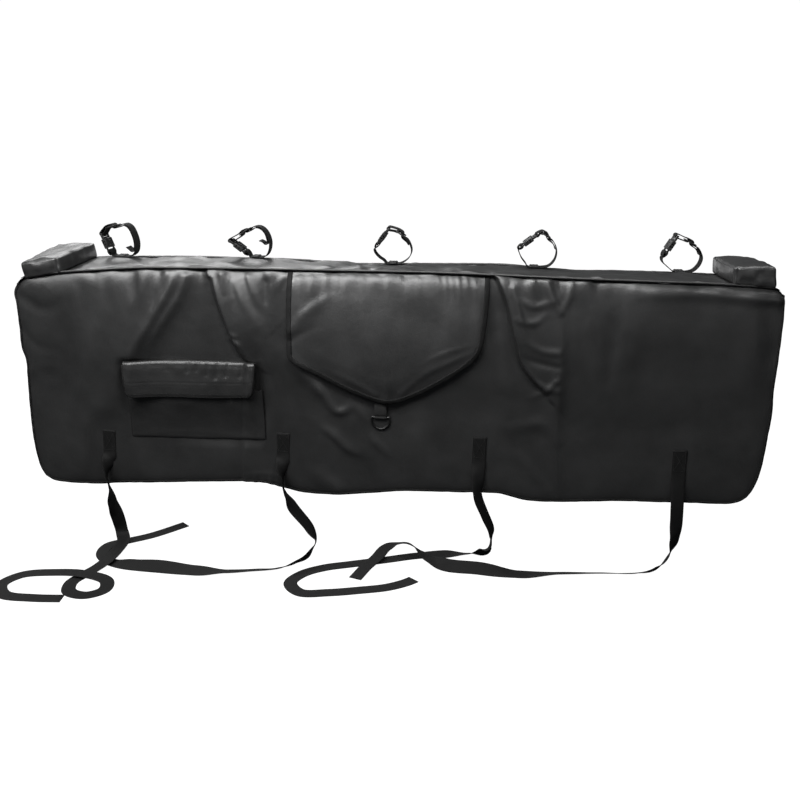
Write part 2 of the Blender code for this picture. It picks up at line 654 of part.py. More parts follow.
# ------------------------------------------------------------------ anchor straps
# Route points in mm from the top of the sewn end: x, y, height, and how the webbing is
# turned.  Height is z while it hangs, or None where it lies.  A pair is the width
# direction in plan; a single number is the tilt in degrees about the route where it lies.
ROUTES = {
    "anchor_strap_1": [
        (-534, -77.4, -302, (1, 0)), (-537, -77.4, -352, (1, 0)), (-541, -87.5, -378, (0.8, 0.6)),
        (-544, -92, -409, (0.15, 0.99)), (-543, -84, -450, (0.75, 0.66)), (-539, -72, -493, (0.97, 0.25)),
        (-531, -69, -522, (1, 0.1)), (-521, -88, None, 5, 9), (-519, -128, None, 0, 8),
        (-521, -166, None, 0, 8), (-533, -190, None, 0, 3), (-547, -213, None, 0, 0),
        (-557, -243, None, 0, 0), (-546, -275, None, 0, 0), (-512, -284, None, 0, 0),
        (-487, -262, None, 0, 0), (-497, -230, None, 0, 1), (-545, -218, None, 0, 5),
        (-600, -218, None, 0, 1), (-650, -236, None, 0, 0), (-665, -272, None, 0, 0),
        (-635, -300, None, 0, 0), (-585, -302, None, 0, 0), (-560, -298, None, 0, 0)],
    "anchor_strap_2": [
        (-192, -77.4, -293, (1, 0)), (-194, -77.4, -342, (1, 0)), (-196, -89, -370, (0.7, 0.7)),
        (-198, -92, -400, (0.1, 0.99)), (-176, -86, -442, (0.55, 0.83)), (-147, -78, -486, (0.45, 0.89)),
        (-134, -82, -512, (-0.1, 1.0)), (-140, -106, None, 70, 3), (-160, -135, None, 45, 1),
        (-192, -157, None, 25, 0), (-235, -167, None, 20, 0), (-285, -176, None, 15, 0),
        (-345, -181, None, -20, 0), (-413, -182, None, -45, 0), (-468, -176, None, -28, 0),
        (-520, -158, None, 0, 0), (-548, -128, None, 0, 0), (-549, -92, None, 0, 0),
        (-521, -71, None, 0, 0), (-480, -40, None, 0, 0), (-428, 19, None, 0, 0), (-415, 34, None, 0, 0)],
    "anchor_strap_3": [
        (178, -77.4, -285, (1, 0)), (178, -77.4, -336, (1, 0)), (178, -84.5, -363, (0.9, 0.43)),
        (178, -90, -397, (0.6, 0.8)), (192, -85, -436, (0.5, 0.87)), (207, -75, -476, (0.4, 0.92)),
        (207, -71, -503, (-0.1, 1.0)), (193, -60, None, 60, 2), (163, -56, None, 22, 0),
        (117, -57, None, -8, 0), (62, -68, None, 0, 0), (3, -92, None, 0, 0), (-59, -116, None, 0, 0),
        (-108, -136, None, 0, 0), (-144, -164, None, 0, 0), (-159, -200, None, 0, 0),
        (-133, -232, None, 0, 0), (-83, -226, None, 0, 0), (-31, -212, None, 0, 0),
        (22, -194, None, 0, 0), (61, -166, None, 0, 0), (79, -140, None, 0, 0)],
    "anchor_strap_4": [
        (541, -77.4, -294, (1, 0)), (543, -77.4, -345, (1, 0)), (544, -81, -373, (1, 0.15)),
        (545, -84, -401, (1, 0.2)), (547, -84, -437, (0.97, 0.25)), (547, -84, -472, (0.8, 0.6)),
        (540, -86, -502, (0.3, 0.95)), (520, -88, None, 50, 3), (485, -100, None, 32, 0),
        (411, -107, None, 26, 0), (336, -114, None, 20, 0), (261, -121, None, -5, 0),
        (186, -121, None, -45, 0), (123, -116, None, -50, 0), (90, -101, None, 0, 14),
        (61, -75, None, 42, 14), (31, -47, None, 15, 12), (4, -54, None, 0, 9),
        (-12, -96, None, 0, 6), (-28, -130, None, 0, 4), (-42, -166, None, 0, 0), (-50, -190, None, 0, 0)],
}


def strap_frames(route, length, step=0.0125):
    """Centre points and width directions of a twisting strap of the given length."""
    pos, wid = [], []
    flat = [Vector((p[0], p[1], 0)) / 1000 for p in route]
    for i, p in enumerate(route):
        if len(p) == 4:                              # hanging
            pos.append(Vector(p[:3]) / 1000)
            wid.append(Vector((p[3][0], p[3][1], 0)).normalized())
            continue
        tilt = math.radians(p[3])
        a, b = flat[max(0, i - 1)], flat[min(len(flat) - 1, i + 1)]
        d = (b - a).normalized()
        left = Vector((-d.y, d.x, 0))
        w = left * math.cos(tilt) + Vector((0, 0, math.sin(tilt)))
        if w.dot(wid[-1]) < -1e-6 and len(route[i - 1]) == 4:
            w = -w
            flip = -1
        elif len(route[i - 1]) == 4:
            flip = 1
        else:
            w = w * flip
        h = WEB_T / 2 + 0.0001 + WEB_W / 2 * abs(math.sin(tilt)) + p[4] / 1000
        pos.append(Vector((p[0] / 1000, p[1] / 1000, FLOOR_Z + h)))
        wid.append(w)
    dense = spline([tuple(p) for p in pos], 0.0015)
    # the width directions are sampled with the centre line's own parameter
    ext_n = []
    for i in range(len(pos) - 1):
        ext_n.append(max(2, int((pos[i + 1] - pos[i]).length / 0.0015)))
    wd = []
    for i, n in enumerate(ext_n):
        for k in range(n):
            t = k / n
            t = t * t * (3 - 2 * t)
            wd.append(wid[i].lerp(wid[i + 1], t))
    wd.append(wid[-1])
    out, run, nxt = [(dense[0], wd[0])], 0.0, step
    for k in range(1, len(dense)):
        seg = (dense[k] - dense[k - 1]).length
        while run + seg >= nxt - 1e-9 and nxt <= length + 1e-9:
            f = (nxt - run) / seg
            out.append((dense[k - 1].lerp(dense[k], f), wd[k - 1].lerp(wd[k], f)))
            nxt += step
        run += seg
        if nxt > length + 1e-9:
            break
    pts = [p for p, _ in out]
    frames = []
    for k, (p, w) in enumerate(out):
        d = (pts[min(k + 1, len(pts) - 1)] - pts[max(0, k - 1)]).normalized()
        w = (w - d * w.dot(d)).normalized()
        frames.append((p, w, d.cross(w)))
    return frames


for name, route in ROUTES.items():
    finish(ribbon(strap_frames(route, STRAP_LENGTH), WEB_W, WEB_T), name, "webbing", 40)

# ------------------------------------------------------------------ rear strap locks
lock_r = 0.0029
tab_out = lock_r + 0.0014
for k, x in enumerate(REAR_STRAP_X):
    yr = DEPTH / 2 + GAP + BIND_T + GAP
    zb = -REAR_DROP - 0.010
    tab = tear_tab(yr + tab_out - 0.0013, zb, yr, yr + 0.0028, -REAR_DROP + 0.034, tab_out, lock_r, WEB_W, x)
    finish(tab, "rear_tab_%d" % (k + 1), "webbing", 40)
    yc = yr + tab_out - 0.0013
    outline = rounded_rect(x - 0.0165, x + 0.0165, zb - 0.0262, zb + 0.0018, 0.0015, 2)
    slots = [rect(x - 0.0136, x + 0.0136, zb - 0.0083, zb - 0.0018),
             rect(x - 0.0136, x + 0.0136, zb - 0.0222, zb - 0.0117)]
    lock = plate([outline] + slots, yc - 0.0018, yc + 0.0018, "XZ")
    finish(lock, "rear_lock_%d" % (k + 1), "buckle")
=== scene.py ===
"""Looks of the tailgate bike pad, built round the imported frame.

Same frame as the part: +X along the tailgate, the front panel faces -Y, +Z up, metres.
"""
import math

import bmesh
import bpy
import numpy as np
from mathutils import Matrix, Vector


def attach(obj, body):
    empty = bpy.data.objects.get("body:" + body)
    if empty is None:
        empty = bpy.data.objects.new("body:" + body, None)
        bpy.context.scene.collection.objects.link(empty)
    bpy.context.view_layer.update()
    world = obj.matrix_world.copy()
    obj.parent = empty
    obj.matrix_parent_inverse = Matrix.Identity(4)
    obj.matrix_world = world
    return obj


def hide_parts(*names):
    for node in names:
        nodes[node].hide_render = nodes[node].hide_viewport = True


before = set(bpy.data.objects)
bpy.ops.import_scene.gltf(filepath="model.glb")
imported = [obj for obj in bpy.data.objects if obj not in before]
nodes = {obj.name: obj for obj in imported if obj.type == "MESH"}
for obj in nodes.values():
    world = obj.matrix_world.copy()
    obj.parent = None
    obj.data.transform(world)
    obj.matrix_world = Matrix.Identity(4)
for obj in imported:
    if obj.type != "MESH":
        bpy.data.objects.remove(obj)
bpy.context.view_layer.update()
scene = bpy.context.scene

# ------------------------------------------------------------------ camera
PITCH, YAW, ROLL = math.radians(17.546), math.radians(-5.323), math.radians(0.59)
FOCAL = 873.3                                   # in pixels of an 800 pixel wide picture
EYE = Vector((0.1710, -1.6047, 0.2658))
fwd = Vector((math.sin(YAW) * math.cos(PITCH), math.cos(YAW) * math.cos(PITCH), -math.sin(PITCH)))
side0 = Vector((math.cos(YAW), -math.sin(YAW), 0))
up0 = side0.cross(fwd)
cam_x = side0 * math.cos(ROLL) + up0 * math.sin(ROLL)
cam_y = up0 * math.cos(ROLL) - side0 * math.sin(ROLL)

cam_data = bpy.data.cameras.new("camera")
cam_data.sensor_width = 36.0
cam_data.lens = FOCAL / 800 * 36.0
cam_data.clip_start, cam_data.clip_end = 0.05, 60
cam = bpy.data.objects.new("camera", cam_data)
scene.collection.objects.link(cam)
rot = Matrix((cam_x, cam_y, -fwd)).transposed().to_4x4()
rot.translation = EYE
cam.matrix_world = rot
scene.camera = cam


def seen(px, py, y=-0.0755):
    """The point (x, z) of the plane at that y which lies at a place in the picture."""
    d = fwd * FOCAL + cam_x * (px - 400) - cam_y * (py - 400)
    t = (y - EYE.y) / d.y
    p = EYE + d * t
    return p.x, p.z


# ------------------------------------------------------------------ small tools
def smooth(t):
    t = np.clip(t, 0.0, 1.0)
    return t * t * (3 - 2 * t)


_tables = {}


def noise(x, y, size, seed=1):
    """Smooth value noise from -1 to 1."""
    if seed not in _tables:
        _tables[seed] = np.random.RandomState(seed).rand(97, 97) * 2 - 1
    g = _tables[seed]
    u, v = np.asarray(x) / size + 41.3, np.asarray(y) / size + 17.7
    i, j = np.floor(u).astype(int), np.floor(v).astype(int)
    a, b = u - i, v - j
    a, b = a * a * a * (a * (a * 6 - 15) + 10), b * b * b * (b * (b * 6 - 15) + 10)
    i0, j0, i1, j1 = i % 97, j % 97, (i + 1) % 97, (j + 1) % 97
    return (g[i0, j0] * (1 - a) * (1 - b) + g[i1, j0] * a * (1 - b)
            + g[i0, j1] * (1 - a) * b + g[i1, j1] * a * b)


def centripetal(points, per=8):
    """A smooth line through points of any dimension; per samples each span."""
    pts = [np.array(p, float) for p in points]
    ext = [2 * pts[0] - pts[1]] + pts + [2 * pts[-1] - pts[-2]]
    out = []
    for i in range(1, len(ext) - 2):
        p0, p1, p2, p3 = ext[i - 1:i + 3]
        t1 = max(np.linalg.norm(p1 - p0), 1e-9) ** 0.5
        t2 = t1 + max(np.linalg.norm(p2 - p1), 1e-9) ** 0.5
        t3 = t2 + max(np.linalg.norm(p3 - p2), 1e-9) ** 0.5
        n = per if isinstance(per, int) else max(2, int(np.linalg.norm(p2 - p1) / per))
        for k in range(n):
            t = t1 + (t2 - t1) * k / n
            a1 = p0 * ((t1 - t) / t1) + p1 * (t / t1)
            a2 = p1 * ((t2 - t) / (t2 - t1)) + p2 * ((t - t1) / (t2 - t1))
            a3 = p2 * ((t3 - t) / (t3 - t2)) + p3 * ((t - t2) / (t3 - t2))
            b1 = a1 * ((t2 - t) / t2) + a2 * (t / t2)
            b2 = a2 * ((t3 - t) / (t3 - t1)) + a3 * ((t - t1) / (t3 - t1))
            out.append(b1 * ((t2 - t) / (t2 - t1)) + b2 * ((t - t1) / (t2 - t1)))
    out.append(pts[-1])
    return np.array(out)


def follow(line, n, by=None):
    """n points along a line, evenly spaced by length, or by one coordinate."""
    line = np.asarray(line, float)
    if by is None:
        s = np.concatenate([[0], np.cumsum(np.linalg.norm(np.diff(line, axis=0), axis=1))])
    else:
        s = line[:, by] if line[-1, by] > line[0, by] else -line[:, by]
        s = np.maximum.accumulate(s)
        s = s + np.arange(len(s)) * 1e-9
    t = np.linspace(s[0], s[-1], n)
    return np.stack([np.interp(t, s, line[:, k]) for k in range(line.shape[1])], 1)


def new_mesh(name, verts, faces, uv=None, shade=True):
    me = bpy.data.meshes.new(name)
    me.from_pydata([tuple(map(float, v)) for v in verts], [], [tuple(map(int, f)) for f in faces])
    if uv is not None:
        lay = me.uv_layers.new(name="UVMap")
        loops = np.empty(len(me.loops), np.int32)
        me.loops.foreach_get("vertex_index", loops)
        lay.data.foreach_set("uv", np.asarray(uv, np.float32)[loops].ravel())
    if shade:
        me.shade_smooth()
    me.update()
    ob = bpy.data.objects.new(name, me)
    scene.collection.objects.link(ob)
    return ob


def grid_faces(rows, cols, flip=False):
    i, j = np.meshgrid(np.arange(rows - 1), np.arange(cols - 1), indexing="ij")
    a = (i * cols + j).ravel()
    f = np.stack([a, a + 1, a + cols + 1, a + cols], 1)
    return f[:, ::-1] if flip else f


def closed_sheet(name, front, back, uv=None, keep=None):
    """Two grids of points (rows, cols, 3) as the faces of one closed sheet."""
    rows, cols = front.shape[:2]
    n = rows * cols
    verts = np.concatenate([front.reshape(-1, 3), back.reshape(-1, 3)])
    f = grid_faces(rows, cols)
    if keep is not None:
        f = f[keep(verts[f].mean(1))]
    b = f[:, ::-1] + n
    edges = np.concatenate([f[:, [0, 1]], f[:, [1, 2]], f[:, [2, 3]], f[:, [3, 0]]])
    key = {tuple(e) for e in edges.tolist()}
    rim = [e for e in edges.tolist() if (e[1], e[0]) not in key]
    rim = [(a, a + n, c + n, c) for a, c in rim]
    faces = f.tolist() + b.tolist() + rim
    if uv is not None:
        uv = np.concatenate([uv.reshape(-1, 2)] * 2)
    ob = new_mesh(name, verts, faces, uv)
    return tidy(ob)


def tidy(ob, angle=None):
    """Drop loose points, turn the faces outwards and mark sharp edges."""
    bm = bmesh.new()
    bm.from_mesh(ob.data)
    loose = [v for v in bm.verts if not v.link_faces]
    bmesh.ops.delete(bm, geom=loose, context="VERTS")
    bmesh.ops.recalc_face_normals(bm, faces=bm.faces)
    bm.to_mesh(ob.data)
    bm.free()
    ob.data.shade_smooth()
    if angle:
        ob.data.set_sharp_from_angle(angle=math.radians(angle))
    return ob


# ------------------------------------------------------------------ relief of the cloth
class Folds:
    """Height of a cloth above its base plane, in metres, at points (x, z)."""

    def __init__(self, x, z):
        self.x, self.z = x, z
        self.h = np.zeros_like(x)

    def near(self, line, reach):
        """For the points within reach of a line: index, signed distance (positive on the
        viewer's left of a line that runs down) and place along it from 0 to 1."""
        lo, hi = line.min(0) - reach, line.max(0) + reach
        idx = np.nonzero((self.x > lo[0]) & (self.x < hi[0]) & (self.z > lo[1]) & (self.z < hi[1]))
        x, z = self.x[idx], self.z[idx]
        seg = np.linalg.norm(np.diff(line, axis=0), axis=1)
        run = np.concatenate([[0], np.cumsum(seg)])
        best = np.full(x.shape, 1e9)
        dist, along = np.zeros_like(x), np.zeros_like(x)
        for k in range(len(seg)):
            a, b = line[k], line[k + 1]
            d = (b - a) / max(seg[k], 1e-9)
            t = (x - a[0]) * d[0] + (z - a[1]) * d[1]
            tc = np.clip(t, 0, seg[k])
            ex, ez = x - a[0] - d[0] * tc, z - a[1] - d[1] * tc
            e2 = ex * ex + ez * ez
            m = e2 < best
            best = np.where(m, e2, best)
            sg = np.sign(d[1] * (x - a[0]) - d[0] * (z - a[1]))
            dist = np.where(m, np.sqrt(e2) * np.where(sg == 0, 1, sg), dist)
            along = np.where(m, (run[k] + tc) / run[-1], along)
        return idx, dist, along

    def _lay(self, points, amps, reach, pixels):
        pts = [seen(*p) for p in points] if pixels else [(p[0] / 1000, p[1] / 1000) for p in points]
        line = centripetal(pts, 8)
        idx, d, s = self.near(line, reach)
        amps = np.array(amps, float) / 1000
        a = np.interp(s, np.linspace(0, 1, len(amps)), amps)
        return idx, d * 1000, a

    def ridge(self, points, amps, left=12, right=None, power=2.0, pixels=True):
        """A fold standing along a line; left and right are its widths in mm."""
        right = right or left
        idx, d, a = self._lay(points, amps, 0.003 * max(left, right), pixels)
        w = np.where(d > 0, left, right)
        self.h[idx] += a * np.exp(-np.abs(d / w) ** power)

    def tuck(self, points, amps, low=25, high=25, steep=7, pixels=True):
        """Cloth that sinks towards a line from its left and stands up steeply on its right
        (as the viewer sees a line that runs down)."""
        idx, d, a = self._lay(points, amps, 0.004 * max(low, high), pixels)
        left = -0.45 * np.exp(-np.maximum(d, 0) / low)
        r = np.maximum(-d, 0)
        right = (-0.45 + smooth(r / steep)) * np.exp(-np.maximum(0, r - steep) / high)
        self.h[idx] += a * np.where(d > 0, left, right)

    def dent(self, px, py, amp, rx, rz=None, pixels=True):
        x0, z0 = seen(px, py) if pixels else (px / 1000, py / 1000)
        rz = rz or rx
        self.h += amp / 1000 * np.exp(-((self.x - x0) / (rx / 1000)) ** 2 - ((self.z - z0) / (rz / 1000)) ** 2)


# ------------------------------------------------------------------ outline of the front panel
def mm(points):
    return [(a / 1000, b / 1000) for a, b in points]


SEAM = centripetal(mm([(-684.5, -20.5), (-679, -14.5), (-669.7, -9.7), (-641.7, -5.5), (-598.7, 0.7), (-561.6, 3.9),
                       (-521.6, 7.1), (-447.5, 12.5), (-361.4, 14.4), (-220, 15.8), (-90.2, 16.4), (75.8, 17.2),
                       (198.8, 15.4), (298.8, 13.4), (448.7, 11.2), (569.7, 9.8), (618.6, 8.1), (653.6, 6.6),
                       (668, 5.0), (676.8, 1.4), (682.6, -5)]), 6)
LEFT = centripetal(mm([(-684.5, -20.5), (-691.8, -31), (-694.8, -43), (-692.6, -55), (-691.4, -70), (-691.2, -121.9), (-691, -145.9), (-685.9, -166.9),
                       (-687.7, -203.9), (-690.5, -244), (-692.2, -304), (-691, -339), (-687.9, -364), (-682.8, -389),
                       (-674.7, -405)]), 6)
RIGHT = centripetal(mm([(682.6, -5), (686.6, -15), (688.4, -35.5), (689.2, -66.5), (690.2, -120.4), (690.8, -186.4),
                        (693.2, -221.3), (691.8, -258.3), (690, -299.3), (688.2, -326.3), (684.3, -348.3),
                        (677.4, -370.3), (670.5, -382.3)]), 6)
HEM = centripetal(mm([(-674.7, -405), (-658.6, -413.9), (-629.5, -417.2), (-605.5, -417.6), (-564.4, -417.3),
                      (-523.4, -413.6), (-482.4, -410.9), (-401.3, -405.4), (-321.3, -400), (-281.2, -398.2),
                      (-241.2, -398.4), (-220, -401.5), (-190, -409), (-164.1, -415.1), (-125, -417.8), (-86, -416.6),
                      (-47, -412.4), (-8.1, -407.8), (29.9, -403), (68.9, -401.4), (106.9, -400.5), (144.9, -400.3),
                      (182.9, -398.6), (219.9, -398.4), (240, -402.6), (262, -408), (294.9, -410.4), (332.9, -409.2),
                      (369.9, -407), (442.8, -402.8), (515.7, -401.2), (587.6, -399.8), (623.6, -399.2),
                      (645, -396.6), (660, -391), (670.5, -382.3)]), 6)


def patch(top, bottom, left, right, cols, rows, squeeze=1.0):
    """Grid of points between four edges (Coons patch); returns x and z arrays."""
    T, B = follow(top, cols, by=0), follow(bottom, cols, by=0)
    L, R = follow(left, rows), follow(right, rows)
    v = np.linspace(0, 1, rows) ** squeeze
    if squeeze != 1.0:
        t = np.linspace(0, 1, rows)
        L = np.stack([np.interp(v, t, L[:, k]) for k in (0, 1)], 1)
        R = np.stack([np.interp(v, t, R[:, k]) for k in (0, 1)], 1)
    u = np.linspace(0, 1, cols)[None, :, None]
    v = v[:, None, None]
    P = ((1 - v) * T[None] + v * B[None] + (1 - u) * L[:, None] + u * R[:, None]
         - ((1 - u) * (1 - v) * T[0] + u * (1 - v) * T[-1] + (1 - u) * v * B[0] + u * v * B[-1]))
    return P[..., 0], P[..., 1]


FRONT_Y = -0.075


def seam_z(x):
    return np.interp(x, SEAM[:, 0], SEAM[:, 1])


def hem_z(x):
    return np.interp(x, HEM[:, 0], HEM[:, 1])


def left_x(z):
    return np.interp(-z, -LEFT[:, 1], LEFT[:, 0])


def right_x(z):
    return np.interp(-z, -RIGHT[:, 1], RIGHT[:, 0])


ANCHOR_AT = [(-0.537, -0.33), (-0.193, -0.32), (0.178, -0.315), (0.542, -0.325)]


def front_relief(x, z):
    """How far the front cover stands out from its plane, in metres."""
    F = Folds(x, z)
    top = seam_z(x) - z                                   # distance below the piping
    # the long swell and slack of the cloth
    F.h += 0.0016 * noise(x, z, 0.21, 3) + 0.0009 * noise(x, z, 0.085, 4)
    F.h += 0.0022 * noise(x, z * 0.35, 0.10, 5) * smooth(top / 0.10)
    # scalloped slack under the piping
    warp = x + 0.010 * noise(x, z * 0, 0.05, 6)
    zone = (0.35 + 0.9 * np.exp(-((x + 0.33) / 0.16) ** 2) + 0.8 * np.exp(-((x - 0.10) / 0.06) ** 2)
            + 0.9 * np.exp(-((x - 0.27) / 0.09) ** 2))
    F.h += 0.0026 * zone * np.cos(warp / 0.0115 + 1.6 * noise(x, z * 0, 0.09, 7)) * np.exp(-top / 0.020) * smooth(top / 0.004)
    F.h += 0.0026 * zone * noise(x + 0.15 * z, z * 0.3, 0.017, 8) * np.exp(-top / 0.045) * smooth(top / 0.006)

    slack, F.h = F.h, np.zeros_like(x)
    # left of the pocket: a long slanting fold and its flat flank above the pocket
    F.ridge([(181, 272), (170, 292), (152, 322), (132, 356), (108, 410), (84, 470)], [1, 3.6, 5, 4.4, 3.0, 1.0], 30, 30)
    F.ridge([(176, 272), (168, 292), (154, 318), (138, 346), (126, 372)], [0.8, 2.4, 2.4, 1.6, 0.2], 8, 10)
    F.ridge([(190, 276), (178, 300), (164, 322), (150, 346)], [0.6, 1.8, 1.8, 0.3], 7, 9)
    F.ridge([(148, 274), (136, 300), (122, 330)], [0.5, 1.3, 0.2], 12, 14)
    F.ridge([(150, 275), (128, 330), (104, 400)], [0.5, 2.0, 0.5], 34, 22)
    F.tuck([(209, 280), (218, 306), (234, 344), (241, 356), (252, 366), (274, 376)], [4, 8.5, 8.5, 5.4, 2.4, 0], 44, 44, 8)
    F.ridge([(240, 298), (256, 326), (266, 356)], [1.0, 3.4, 1.6], 22, 24)
    F.ridge([(192, 292), (185, 330), (182, 352)], [-0.5, -2.0, -0.5], 24, 24)
    F.ridge([(236, 282), (246, 302), (256, 318), (266, 336)], [1, 1.5, 0.9, 0.1], 8, 12)
    F.ridge([(248, 276), (256, 296), (262, 308)], [1.8, 2.0, 0.3], 6, 7)
    F.ridge([(284, 277), (276, 289)], [1.0, 0.2], 7, 6)
    F.ridge([(266, 282), (266, 300)], [-1.5, -0.6], 7, 7)
    F.ridge([(232, 338), (240, 343), (244, 352)], [1.4, 2.4, 1.0], 4, 5)
    F.ridge([(229, 331), (238, 335)], [0.8, 1.2], 3, 4)
    F.ridge([(186, 276), (184, 290)], [2.0, 0.3], 7, 7)
    F.ridge([(205, 274), (207, 282)], [1.8, 0.5], 5, 6)
    F.ridge([(222, 274), (226, 290)], [1.6, 0.6], 5, 6)
    F.ridge([(166, 273), (160, 288)], [1.4, 0.3], 8, 8)
    # the slack beside the flap and down to the hem
    F.ridge([(268, 345), (272, 385), (280, 430), (284, 470)], [1.0, 3.2, 2.6, 1.5], 20, 18)
    F.tuck([(243.5, 400), (243, 440), (243, 482)], [1.4, 2.0, 2.6], 16, 20, 4)
    for k, (px, top_y, a) in enumerate(((250, 474, 1.2), (256, 470, 1.6), (263, 473, 1.3), (270, 471, 1.8), (277, 474, 1.2))):
        F.ridge([(px, top_y), (px + (k - 2) * 0.8, 486)], [0.1, a], 3.2, 3.2)
    F.ridge([(248, 474), (266, 473), (284, 477)], [0.2, 0.7, 0.2], 5, 5)
    # left end: the edge is pulled, and the corner rounds over
    F.ridge([(60, 300), (92, 330), (98, 392), (80, 452)], [0.8, 2.0, 1.4, 0.6], 26, 32)
    F.ridge([(22, 330), (40, 346), (64, 350)], [-1.0, -0.8, -0.1], 10, 10)
    F.ridge([(20, 296), (44, 308), (72, 300)], [-1.6, -1.3, -0.2], 14, 12)
    F.ridge([(28, 372), (48, 366), (70, 372)], [0.5, 0.4, 0.1], 10, 10)
    F.ridge([(106, 276), (99, 320), (86, 376), (70, 436)], [0.8, 2.2, 2.2, 0.4], 18, 26)
    # under the flap
    F.ridge([(284, 352), (300, 368), (316, 388), (326, 410)], [1.0, 3.6, 3.0, 0.3], 14, 14)
    F.ridge([(312, 380), (324, 394), (336, 411), (344, 411), (354, 404)], [0.4, 2.6, 2.9, 2.5, 0.3], 8, 9)
    F.ridge([(318, 424), (334, 436), (350, 450), (366, 455)], [0.4, 2.6, 2.6, 0.3], 8, 12)
    F.ridge([(352, 404), (366, 418), (374, 440), (390, 456)], [0.4, 2.6, 2.4, 0.3], 8, 10)
    F.ridge([(296, 440), (312, 470), (338, 489)], [0.4, 1.5, 2.0], 18, 14)
    F.ridge([(430, 400), (420, 440), (436, 480)], [0.5, 1.6, 0.6], 26, 22)
    # right of the flap: a deep wedge, then rumpled cloth up to an upright crease
    F.tuck([(495, 280), (503, 300), (512, 338), (521, 368), (546, 396)], [7, 12, 13, 10, 3], 26, 24, 7)
    F.ridge([(492, 282), (495, 330), (503, 378)], [-1.0, -3.4, -0.6], 12, 10)
    F.ridge([(513, 288), (519, 312), (526, 340)], [1.0, 1.8, 0.4], 6, 7)
    F.ridge([(559, 296), (561, 340), (559, 386), (556, 440), (557, 498)], [1.5, 3.2, 3.4, 1.4, 0.4], 24, 12, 1.5)
    F.ridge([(528, 342), (542, 350), (557, 352)], [0.4, 1.4, 1.4], 6, 7)
    F.ridge([(524, 356), (540, 362), (557, 366)], [-0.4, -1.4, -1.4], 6, 6)
    F.ridge([(523, 374), (538, 384), (556, 390)], [0.5, 1.5, 1.2], 6, 7)
    F.ridge([(530, 398), (544, 392), (556, 380)], [0.4, 1.2, 1.6], 5, 6)
    F.ridge([(520, 300), (536, 306), (556, 300)], [0.6, 1.4, 0.6], 6, 7)
    F.ridge([(516, 318), (534, 322), (546, 314)], [0.6, 1.6, 0.4], 6, 7)
    F.ridge([(548, 280), (552, 296), (560, 312)], [1.4, 2.4, 1.2], 6, 6)
    F.ridge([(533, 281), (537, 297)], [1.6, 0.5], 5, 5)
    F.ridge([(572, 282), (570, 296), (563, 310)], [1.4, 1.8, 0.6], 6, 6)
    F.ridge([(510, 430), (540, 424), (556, 440)], [0.6, 1.8, 0.6], 12, 12)
    F.ridge([(505, 452), (524, 462), (546, 490)], [0.4, 1.4, 0.8], 12, 12)
    F.ridge([(586, 286), (592, 320), (599, 360), (606, 404)], [1.0, 2.0, 2.0, 0.3], 20, 15)
    F.ridge([(632, 292), (626, 330), (618, 372), (611, 404)], [0.8, 1.9, 1.9, 0.3], 14, 26)
    F.ridge([(608, 300), (609, 350), (609, 396)], [-0.4, -0.8, -0.2], 12, 12)
    F.ridge([(654, 296), (632, 340), (628, 410)], [1.4, 1.8, 0.4], 26, 26)
    F.ridge([(700, 300), (692, 350), (700, 420)], [-0.6, -1.4, -0.4], 40, 40)
    F.ridge([(640, 294), (700, 293), (780, 299)], [0.6, 2.6, 4.6], 11, 14)
    F.ridge([(772, 300), (773, 350), (769, 410)], [-1.0, -3.2, -0.8], 18, 12)
    F.ridge([(752, 296), (751, 350), (748, 410)], [1.0, 1.6, 0.3], 24, 16)
    F.h = slack + 1.9 * F.h
    # the sewn ends of the anchor straps hold the cloth flat, and so does the pocket
    calm = np.zeros_like(x)
    for ax, az in ANCHOR_AT:
        calm = np.maximum(calm, np.exp(-((x - ax) / 0.034) ** 4 - ((z - az) / 0.060) ** 4))
    calm = np.maximum(calm, 0.9 * smooth((x + 0.505) / 0.02) * smooth((-0.222 - x) / 0.02)
                      * smooth((z + 0.330) / 0.02) * smooth((-0.150 - z) / 0.02))
    calm = np.maximum(calm, np.exp(-((x + 0.007) / 0.030) ** 4 - ((z + 0.252) / 0.040) ** 4))
    F.h *= 1 - 0.9 * calm
    # the padding leans out below the seam and back in towards the hem
    lean = 0.0040 + 0.0060 * np.exp(-((x + 0.12) / 0.42) ** 2)
    F.h += lean * smooth(top / 0.115) * (1 - smooth((top - 0.120) / 0.150))
    # the edge rolls back to its binding, the top turns over into the seam
    F.h += 0.0012 - 0.0090 * np.exp(-top / 0.016)
    F.h += 0.0030 * (1 + 1.3 * smooth((x - 0.40) / 0.2)) * (1 - np.exp(-top / 0.011)) * np.exp(-(top / 0.09) ** 2)
    edge = np.minimum(np.minimum(x - left_x(z), right_x(z) - x), z - hem_z(x))
    F.h -= 0.0055 * np.exp(-np.maximum(edge, 0) / 0.0075)
    return F.h


# The relief is worked out once, on a raster of 1 mm, and read from there.
RX, RZ = np.linspace(-0.72, 0.72, 1441), np.linspace(-0.44, 0.04, 481)


def blurred(g, n):
    for _ in range(n):
        g = np.pad(g, 1, mode="edge")
        g = (g[:-2, 1:-1] + g[2:, 1:-1] + 2 * g[1:-1, 1:-1]) / 4
        g = np.pad(g, ((0, 0), (1, 1)), mode="edge")
        g = (g[:, :-2] + g[:, 2:] + 2 * g[:, 1:-1]) / 4
    return g


RELIEF = blurred(front_relief(*np.meshgrid(RX, RZ, indexing="ij")), 3)


